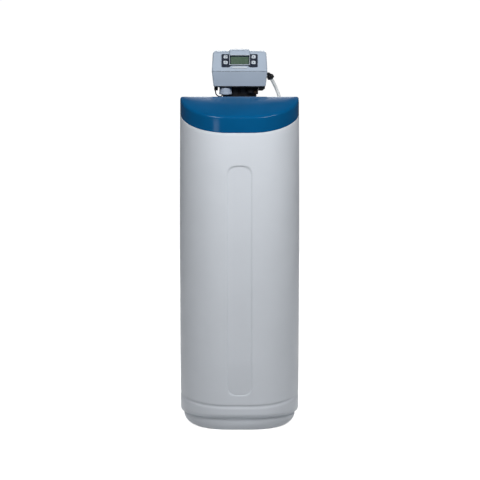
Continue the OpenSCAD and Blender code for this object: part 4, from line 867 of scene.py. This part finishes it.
def hoodSpine(kit, panel):
    # (place, way out, height) up the panel, round the brow and over the top to the split
    lean, back = math.radians(kit["tilt"]), math.radians(panel["topLean"])
    ridgeY, ridgeZ = kit["ridge"]
    bendY, bendZ, bendR = panel["bend"]
    low, sunk = panel["hoodLow"], panel["hoodSunk"]
    proud = panel["hoodProud"] + sunk
    bendV = (bendY - ridgeY) * math.sin(lean) + (bendZ - ridgeZ) * math.cos(lean)
    out = Vector((0, -math.cos(lean), math.sin(lean)))
    spine = []
    for k in range(13):
        v = low + (bendV - low) * k / 12
        spine.append((panelPoint(0, v, -sunk), out, hoodHeight(panel, v) + sunk))
    first, last = math.pi - lean, math.pi / 2 - back
    for k in range(1, 9):
        a = first + (last - first) * k / 8
        way = Vector((0, math.cos(a), math.sin(a)))
        spine.append((valvePoint(0, bendY, bendZ) + way * (bendR - sunk), way, proud))
    start = spine[-1][0]
    end = valvePoint(0, panel["hoodBack"], panel["hoodTop"])
    run = Vector((0, math.cos(back), -math.sin(back)))
    run *= (end.y - start.y) / run.y
    for k in range(1, 6):
        base = start + run * k / 5
        spine.append((base, Vector((0, 0, 1)), min(proud, end.z - base.z)))
    return spine


def addHood(kit, panel):
    half, edge = panel["hoodHalf"], panel["hoodEdge"]
    across = [half * math.sin((k / 20 - 1) * math.pi / 2) for k in range(41)]
    rows = []
    for base, way, out in hoodSpine(kit, panel):
        row = []
        for x in across:
            far = max(0.0, abs(x) - half + edge) / edge
            share = max(0.0, 1 - far ** 2.4) ** (1 / 1.6)
            row.append(base + way * out * share + Vector((x, 0, 0)))
        row += [base + Vector((x, 0, 0)) - way * 0.2 for x in reversed(across)]
        rows.append(row)
    body = loose("hoodBody", ringMesh(rows, caps=True))
    wide, low, high = panel["window"]
    under, over = panel["hoodCut"]
    hole = blockCutter("windowCut", (-wide / 2, low, under), (wide / 2, high, over), panelPlace())
    piece = addPiece("displayHood", carve(body, [hole]), "headGrey", "display_hood", crease=40)
    softenCuts(piece, 0.4, 55)


def roundedLoop(halfX, halfV, r, midX, midV):
    loop = []
    for cx, cv, start in ((1, 1, 0), (-1, 1, 90), (-1, -1, 180), (1, -1, 270)):
        for k in range(7):
            a = math.radians(start + 15 * k)
            x, v = cx * (halfX - r) + r * math.cos(a), cv * (halfV - r) + r * math.sin(a)
            loop.append((x + midX, v + midV))
    return loop


def addWindow(panel):
    # pale frame round the window, dark well under it and the blank screen; the well's dark lining of the
    # recess walls, with its band widest at the top, is painted shade, and its band round the screen is also
    # the screen's own dark border
    wide, low, high = panel["window"]
    half, middle, tall = wide / 2, (low + high) / 2, (high - low) / 2
    edge, r = panel["frame"], panel["windowR"]
    rows = []
    for grow, rise in ((0.0, -1.2), (0.0, 0.25), (0.3, 0.5), (edge - 0.4, 0.5), (edge, 0.2), (edge, -1.2)):
        loop = roundedLoop(half + grow, tall + grow, r + grow, 0, middle)
        rows.append([panelPoint(x, v, hoodHeight(panel, v) + rise) for x, v in loop])
    addPiece("windowFrame", ringMesh(rows + rows[:1]), "keyGrey")
    deep, face = panel["glassDeep"]
    # bands of the dark well at the sides, top and bottom: painted shade in the recess, widest under the brow
    sideIn, topIn, lowIn = panel["bezel"]
    rows = []
    for share, rise in ((0.03, None), (0.3, None), (0.9, face + 0.45), (1.0, face + 0.1), (1.0, deep),
                        (0.03, deep)):
        drop, lift = topIn * share, lowIn * share
        loop = roundedLoop(half - sideIn * share, tall - (drop + lift) / 2, r, 0, middle + (lift - drop) / 2)
        rows.append([panelPoint(x, v, hoodHeight(panel, v) - 0.3 if rise is None else rise) for x, v in loop])
    addPiece("windowWell", ringMesh(rows + rows[:1]), "overlayNavy")
    rows = []
    for shrink, rise in ((1.1, deep - 1.0), (1.1, face - 0.2), (1.3, face)):
        loop = roundedLoop(half - shrink, tall - shrink, r, 0, middle)
        rows.append([panelPoint(x, v, rise) for x, v in loop])
    addPiece("displayScreen", ringMesh(rows, caps=True), "screenGreen", "display_screen")


def addOverlay(panel, keys):
    half, low, high, r, thick = panel["overlay"]
    middle, tall = (low + high) / 2, (high - low) / 2
    rows = []
    for shrink, n in ((0.0, 0.05), (0.0, thick - 0.25), (0.25, thick)):
        rows.append([(x, v, n) for x, v in roundedLoop(half - shrink, tall - shrink, r, 0, middle)])
    plate = loose("overlayPlate", ringMesh(rows, caps=True))
    hood = panel["hoodHalf"] + 0.3
    under, over = panel["overlayCut"]
    cuts = [blockCutter("hoodCut", (-hood, panel["hoodLow"] - 0.4, under), (hood, high + 5, over))]
    wideLow, wideHigh, top = panel["notch"]
    outlines = [((-wideLow, low - 1), (wideLow, low - 1), (wideHigh, top), (-wideHigh, top))]
    gap = keys["gap"]
    for x, v in keyPlaces(keys):
        outlines.append(roundedLoop(keys["wide"] / 2 + gap, keys["high"] / 2 + gap, keys["r"] + gap, x, v))
    for outline in outlines:
        rows = [[(x, v, n) for x, v in outline] for n in (under, over)]
        cuts.append(loose("keypadCut", ringMesh(rows, caps=True)))
    shape = carve(plate, cuts)
    shape.transform(panelPlace())
    addPiece("keypadOverlay", shape, "overlayNavy", "keypad_panel")


def signLoops(sign):
    # thin raised signs, as outlines about the key's middle
    def bar(left, low, right, high):
        return [(left, low), (right, low), (right, high), (left, high)]

    if sign == "up":
        return [[(-2.3, -1.5), (2.3, -1.5), (0.0, 1.9)]]
    if sign == "down":
        return [[(-2.3, 1.5), (0.0, -1.9), (2.3, 1.5)]]
    if sign == "bars":
        return [bar(-2.4, v - 0.38, 2.4, v + 0.38) for v in (-1.7, 0.0, 1.7)]
    turn = circle(24)
    rim = []
    for (c, s), (d, t) in zip(turn, turn[1:] + turn[:1]):
        rim.append([(2.1 * c, 2.1 * s), (2.7 * c, 2.7 * s), (2.7 * d, 2.7 * t), (2.1 * d, 2.1 * t)])
    return rim + [bar(-0.3, -0.3, 0.3, 1.6), bar(0.3, -0.3, 1.5, 0.3)]


def addKey(keys, one):
    x0, v0 = one["side"] * keys["x"], keys["v"][one["row"]]
    grow, top, low = keys["flange"]
    out, crown = keys["out"], keys["crown"]
    face = out + crown * 0.5 - 0.2
    rows = []
    for wider, n in ((grow, -low), (grow, -top), (0.0, -top), (0.0, out - 1.0), (-0.15, out - 0.55),
                     (-0.55, out - 0.2), (-1.2, out - 0.02), (-2.4, out + crown * 0.35 - 0.2), (-3.6, face)):
        r = max(0.6, keys["r"] + wider)
        loop = roundedLoop(keys["wide"] / 2 + wider, keys["high"] / 2 + wider, r, x0, v0)
        rows.append([panelPoint(x, v, n) for x, v in loop])
    shape = ringMesh(rows, caps=True)
    r, stemLow = keys["stem"]
    rows = [[panelPoint(x0 + r * c, v0 + r * s, n) for c, s in circle(20)] for n in (stemLow, -low)]
    ringMesh(rows, True, shape)
    name, body = one["name"] + "Key", one["name"] + "_key"
    addPiece(name, shape, "keyGrey", one["name"] + "_button", body)
    shape = bmesh.new()
    for loop in signLoops(one["sign"]):
        levels = (face - 0.5, face + keys["signOut"])
        ringMesh([[panelPoint(x0 + x, v0 + v, n) for x, v in loop] for n in levels], True, shape)
    addPiece(name + "Sign", shape, "overlayNavy", body=body, smooth=False)


addCovers(headSet, panelSet, keySet)
print("head covers made")
addHood(headSet, panelSet)
addWindow(panelSet)
addOverlay(panelSet, keySet)
for oneKey in keySet["keys"]:
    addKey(keySet, oneKey)
print("panel, screen and keys made")

# turned parts under the head: (radius, height) pairs round the closed outline
adapterSet = {
    "centre": (0.0, 74.0), "segments": 160,
    "grips": 20, "gripDeep": 2.2, "gripLow": 905.0, "gripHigh": 931.0, "gripR": 50.0,
    "profile": [(36.5, 903.0), (50.5, 903.0), (52.0, 904.5), (52.0, 912.0), (52.0, 924.0), (52.0, 931.5),
                (50.8, 933.0), (46.5, 933.6), (46.0, 934.4), (46.5, 935.2), (48.6, 935.6), (49.6, 936.6),
                (49.6, 943.0), (48.6, 944.2), (44.0, 944.6), (41.5, 944.6), (40.6, 943.6), (40.6, 905.0),
                (36.5, 904.4)],
}
cupSet = {
    "centre": (-41.0, 31.0), "segments": 144,
    "ribs": 36, "ribDeep": 0.35, "ribLow": 952.0, "ribHigh": 966.0, "ribR": 17.65,
    "profile": [(1.4, 946.3), (16.9, 946.3), (18.3, 946.8), (18.9, 948.0), (18.7, 951.5), (18.1, 952.4),
                (17.9, 960.0), (17.7, 965.8), (17.0, 967.0), (15.7, 967.0), (15.6, 966.0), (15.6, 948.2),
                (1.5, 948.0)],
    "spindle": (1.5, 948.0, 966.0),
}


def lathe(kit, wave):
    # wave(angle, radius, height) gives the radius there
    cx, cy = kit["centre"]
    turns = [2 * math.pi * k / kit["segments"] for k in range(kit["segments"])]
    rows = []
    for r, z in kit["profile"]:
        row = []
        for a in turns:
            far = wave(a, r, z)
            row.append((cx + far * math.cos(a), cy + far * math.sin(a), z))
        rows.append(row)
    return ringMesh(rows + rows[:1])


def addAdapter(kit):
    def grip(a, r, z):
        if r < kit["gripR"] or not kit["gripLow"] < z < kit["gripHigh"]:
            return r
        return r - kit["gripDeep"] * max(0.0, math.cos(a * kit["grips"])) ** 0.6

    addPiece("adapterRing", lathe(kit, grip), "valveBlack", "tank_adapter")


def addCup(kit):
    def rib(a, r, z):
        if r < kit["ribR"] or not kit["ribLow"] <= z <= kit["ribHigh"]:
            return r
        return r - kit["ribDeep"] * (0.5 + 0.5 * math.cos(a * kit["ribs"]))

    shape = lathe(kit, rib)
    r, low, high = kit["spindle"]
    tubeAlong(shape, (*kit["centre"], low), (0, 0, 1), high - low, r, 0.2, 0.1, 20)
    addPiece("meterCup", shape, "cupGrey", "meter_cup")


# sensor cable and brine line
cableSet = {
    "r": 1.7, "sag": 0.86, "top": -14.3,
    "route": ((-70, -48, -14.3), (-70, -48.5, -18), (-69.5, -49.5, -23), (-67.5, -50.5, -28),
              (-63.5, -51, -32), (-58.5, -50, -34.5), (-54, -48, -34.2), (-51.5, -46.5, -32.2),
              (-51, -46, -30), (-51, -46, -28.3)),
}
brineSet = {
    "elbow": (85.17, 62.0, 1002.8), "tilt": 62.0, "armR": 4.5, "ballR": 4.7, "armFrom": 46.0, "stemR": 5.6,
    "stemTo": 12.5, "boreR": 3.0, "lobes": 9, "lobeDeep": 1.3, "lobeR": 8.3,
    "nut": ((2.4, 5.7), (3.3, 7.6), (5.2, 9.5), (6.8, 10.1), (13.6, 10.4), (15.2, 10.0), (16.0, 8.6),
            (16.6, 6.4), (16.6, 5.2), (10.8, 5.1), (2.8, 5.7)),
    "tubeR": 4.7, "tubeBore": 3.2, "tubeFrom": 7.5, "tubeLeave": 20.5, "tubeOut": 0.85, "tubeDown": 0.95,
    "grommet": (119.0, 20.0, 908.5), "well": (111.5, -57.0, 808.0), "tubeEnd": 14.0,
}


def smoothPath(points, steps):
    # a rounded line through the points
    out = []
    padded = [2 * points[0] - points[1], *points, 2 * points[-1] - points[-2]]
    for a, b, c, d in zip(padded, padded[1:], padded[2:], padded[3:]):
        for k in range(steps):
            t = k / steps
            out.append(0.5 * (2 * b + (c - a) * t + (2 * a - 5 * b + 4 * c - d) * t * t
                              + (3 * b - a - 3 * c + d) * t * t * t))
    return out + [points[-1]]


def bend(a, wayA, b, wayB, t):
    # a smooth curve from a to b with a direction at each end
    t2, t3 = t * t, t * t * t
    return (2 * t3 - 3 * t2 + 1) * a + (t3 - 2 * t2 + t) * wayA + (3 * t2 - 2 * t3) * b + (t3 - t2) * wayB


def sweep(path, r, segments, bore=0.0):
    # a round tube along a path, hollow where it has a bore
    side = (path[1] - path[0]).orthogonal().normalized()
    outer, inner = [], []
    for k, p in enumerate(path):
        way = (path[min(k + 1, len(path) - 1)] - path[max(k - 1, 0)]).normalized()
        side = (side - way * side.dot(way)).normalized()
        other = way.cross(side)
        outer.append(ring(p, side, other, r, segments))
        inner.append(ring(p, side, other, bore, segments))
    if bore:
        return ringMesh(outer + inner[::-1] + outer[:1])
    return ringMesh(outer, caps=True)


def addCable(kit):
    top, sag = kit["top"], kit["sag"]
    path = smoothPath([valvePoint(x, y, top + (z - top) * sag) for x, y, z in kit["route"]], 6)
    piece = addPiece("sensorCable", sweep(path, kit["r"], 16), "blackRubber", "sensor_cable")


def addBrine(kit):
    lean = math.radians(kit["tilt"])
    way = Vector((math.cos(lean), 0, -math.sin(lean)))
    side = Vector((0, 1, 0))
    other = way.cross(side)
    elbow = Vector(kit["elbow"])
    # elbow: an arm out of the head, a ball at the turn and a stem into the nut
    shape = bmesh.new()
    start = (kit["armFrom"], elbow.y, elbow.z)
    tubeAlong(shape, start, (1, 0, 0), elbow.x - kit["armFrom"], kit["armR"], kit["boreR"], 0.4)
    ball = bmesh.ops.create_uvsphere(shape, u_segments=28, v_segments=18, radius=kit["ballR"] * mm)
    bmesh.ops.translate(shape, verts=ball["verts"], vec=elbow * mm)
    tubeAlong(shape, elbow, way, kit["stemTo"], kit["stemR"], kit["boreR"], 0.4)
    addPiece("brineElbow", shape, "valveBlack", "brine_elbow")
    # lobed nut: (how far along, radius) pairs
    turns = [2 * math.pi * k / 108 for k in range(108)]
    rows = []
    for along, r in kit["nut"]:
        deep = kit["lobeDeep"] if r > kit["lobeR"] else 0.0
        row = []
        for a in turns:
            far = r - deep * (0.5 - 0.5 * math.cos(a * kit["lobes"])) ** 2
            row.append(elbow + way * along + (side * math.cos(a) + other * math.sin(a)) * far)
        rows.append(row)
    addPiece("brineNut", ringMesh(rows + rows[:1]), "valveBlack", "brine_nut")
    # tube: out of the nut, through the grommet and down to the float valve's stem
    start, leave = elbow + way * kit["tubeFrom"], elbow + way * kit["tubeLeave"]
    grommet, well = Vector(kit["grommet"]), Vector(kit["well"])
    reach = (grommet - start).length
    fall = Vector((0, 0, -reach * kit["tubeDown"]))
    deepFall = Vector((0, 0, -(well - grommet).length))
    path = [start]
    path += [bend(leave, way * reach * kit["tubeOut"], grommet, fall, k / 20) for k in range(20)]
    path += [bend(grommet, deepFall, well, deepFall, k / 20) for k in range(21)]
    path.append(well - Vector((0, 0, kit["tubeEnd"])))
    shape = sweep(path, kit["tubeR"], 24, kit["tubeBore"])
    piece = addPiece("brineTube", shape, "clearTube", "brine_tube")


addAdapter(adapterSet)
addCup(cupSet)
addCable(cableSet)
addBrine(brineSet)
print("adapter, meter cup, cable and brine line made")

# carried-over parts: same form, with softened edges and smooth rounds
softSet = {
    "edge": 0.6, "angle": 32, "flat": 1.5,
    "parts": ("rear_deck", "hinge_pins", "case_screws", "tube_grommet", "overflow_spigot", "overflow_gasket",
              "overflow_nut", "tank_shell", "tank_foot", "valve_body", "drive_cap", "injector_cap",
              "refill_control", "drain_spigot", "inlet_connector", "outlet_connector", "union_nuts",
              "head_tray", "power_socket", "brine_well", "well_cap", "float_valve", "circuit_board"),
    "edges": {"rear_deck": 1.2, "head_tray": 0.8, "well_cap": 1.2, "tank_foot": 2.0, "valve_body": 0.8,
              "case_screws": 0.3, "hinge_pins": 0.5, "circuit_board": 0.2, "refill_control": 0.5},
}
bodies = frame["record"]["behaviour"]["bodies"]
bodyOf = {member: body for body, members in bodies.items() for member in members}


def softCopy(kit, name):
    shape = bmesh.new()
    shape.from_mesh(nodes[name].data)
    bmesh.ops.remove_doubles(shape, verts=shape.verts, dist=1e-6)
    flat = math.radians(kit["flat"])
    bmesh.ops.dissolve_limit(shape, angle_limit=flat, verts=shape.verts, edges=shape.edges)
    piece = addPiece(camel(name), shape, camel(nodeSlot[name]), name, bodyOf[name], crease=30)
    softenCuts(piece, kit["edges"].get(name, kit["edge"]), kit["angle"])


for partName in softSet["parts"]:
    softCopy(softSet, partName)
print("softened parts:", len(softSet["parts"]))
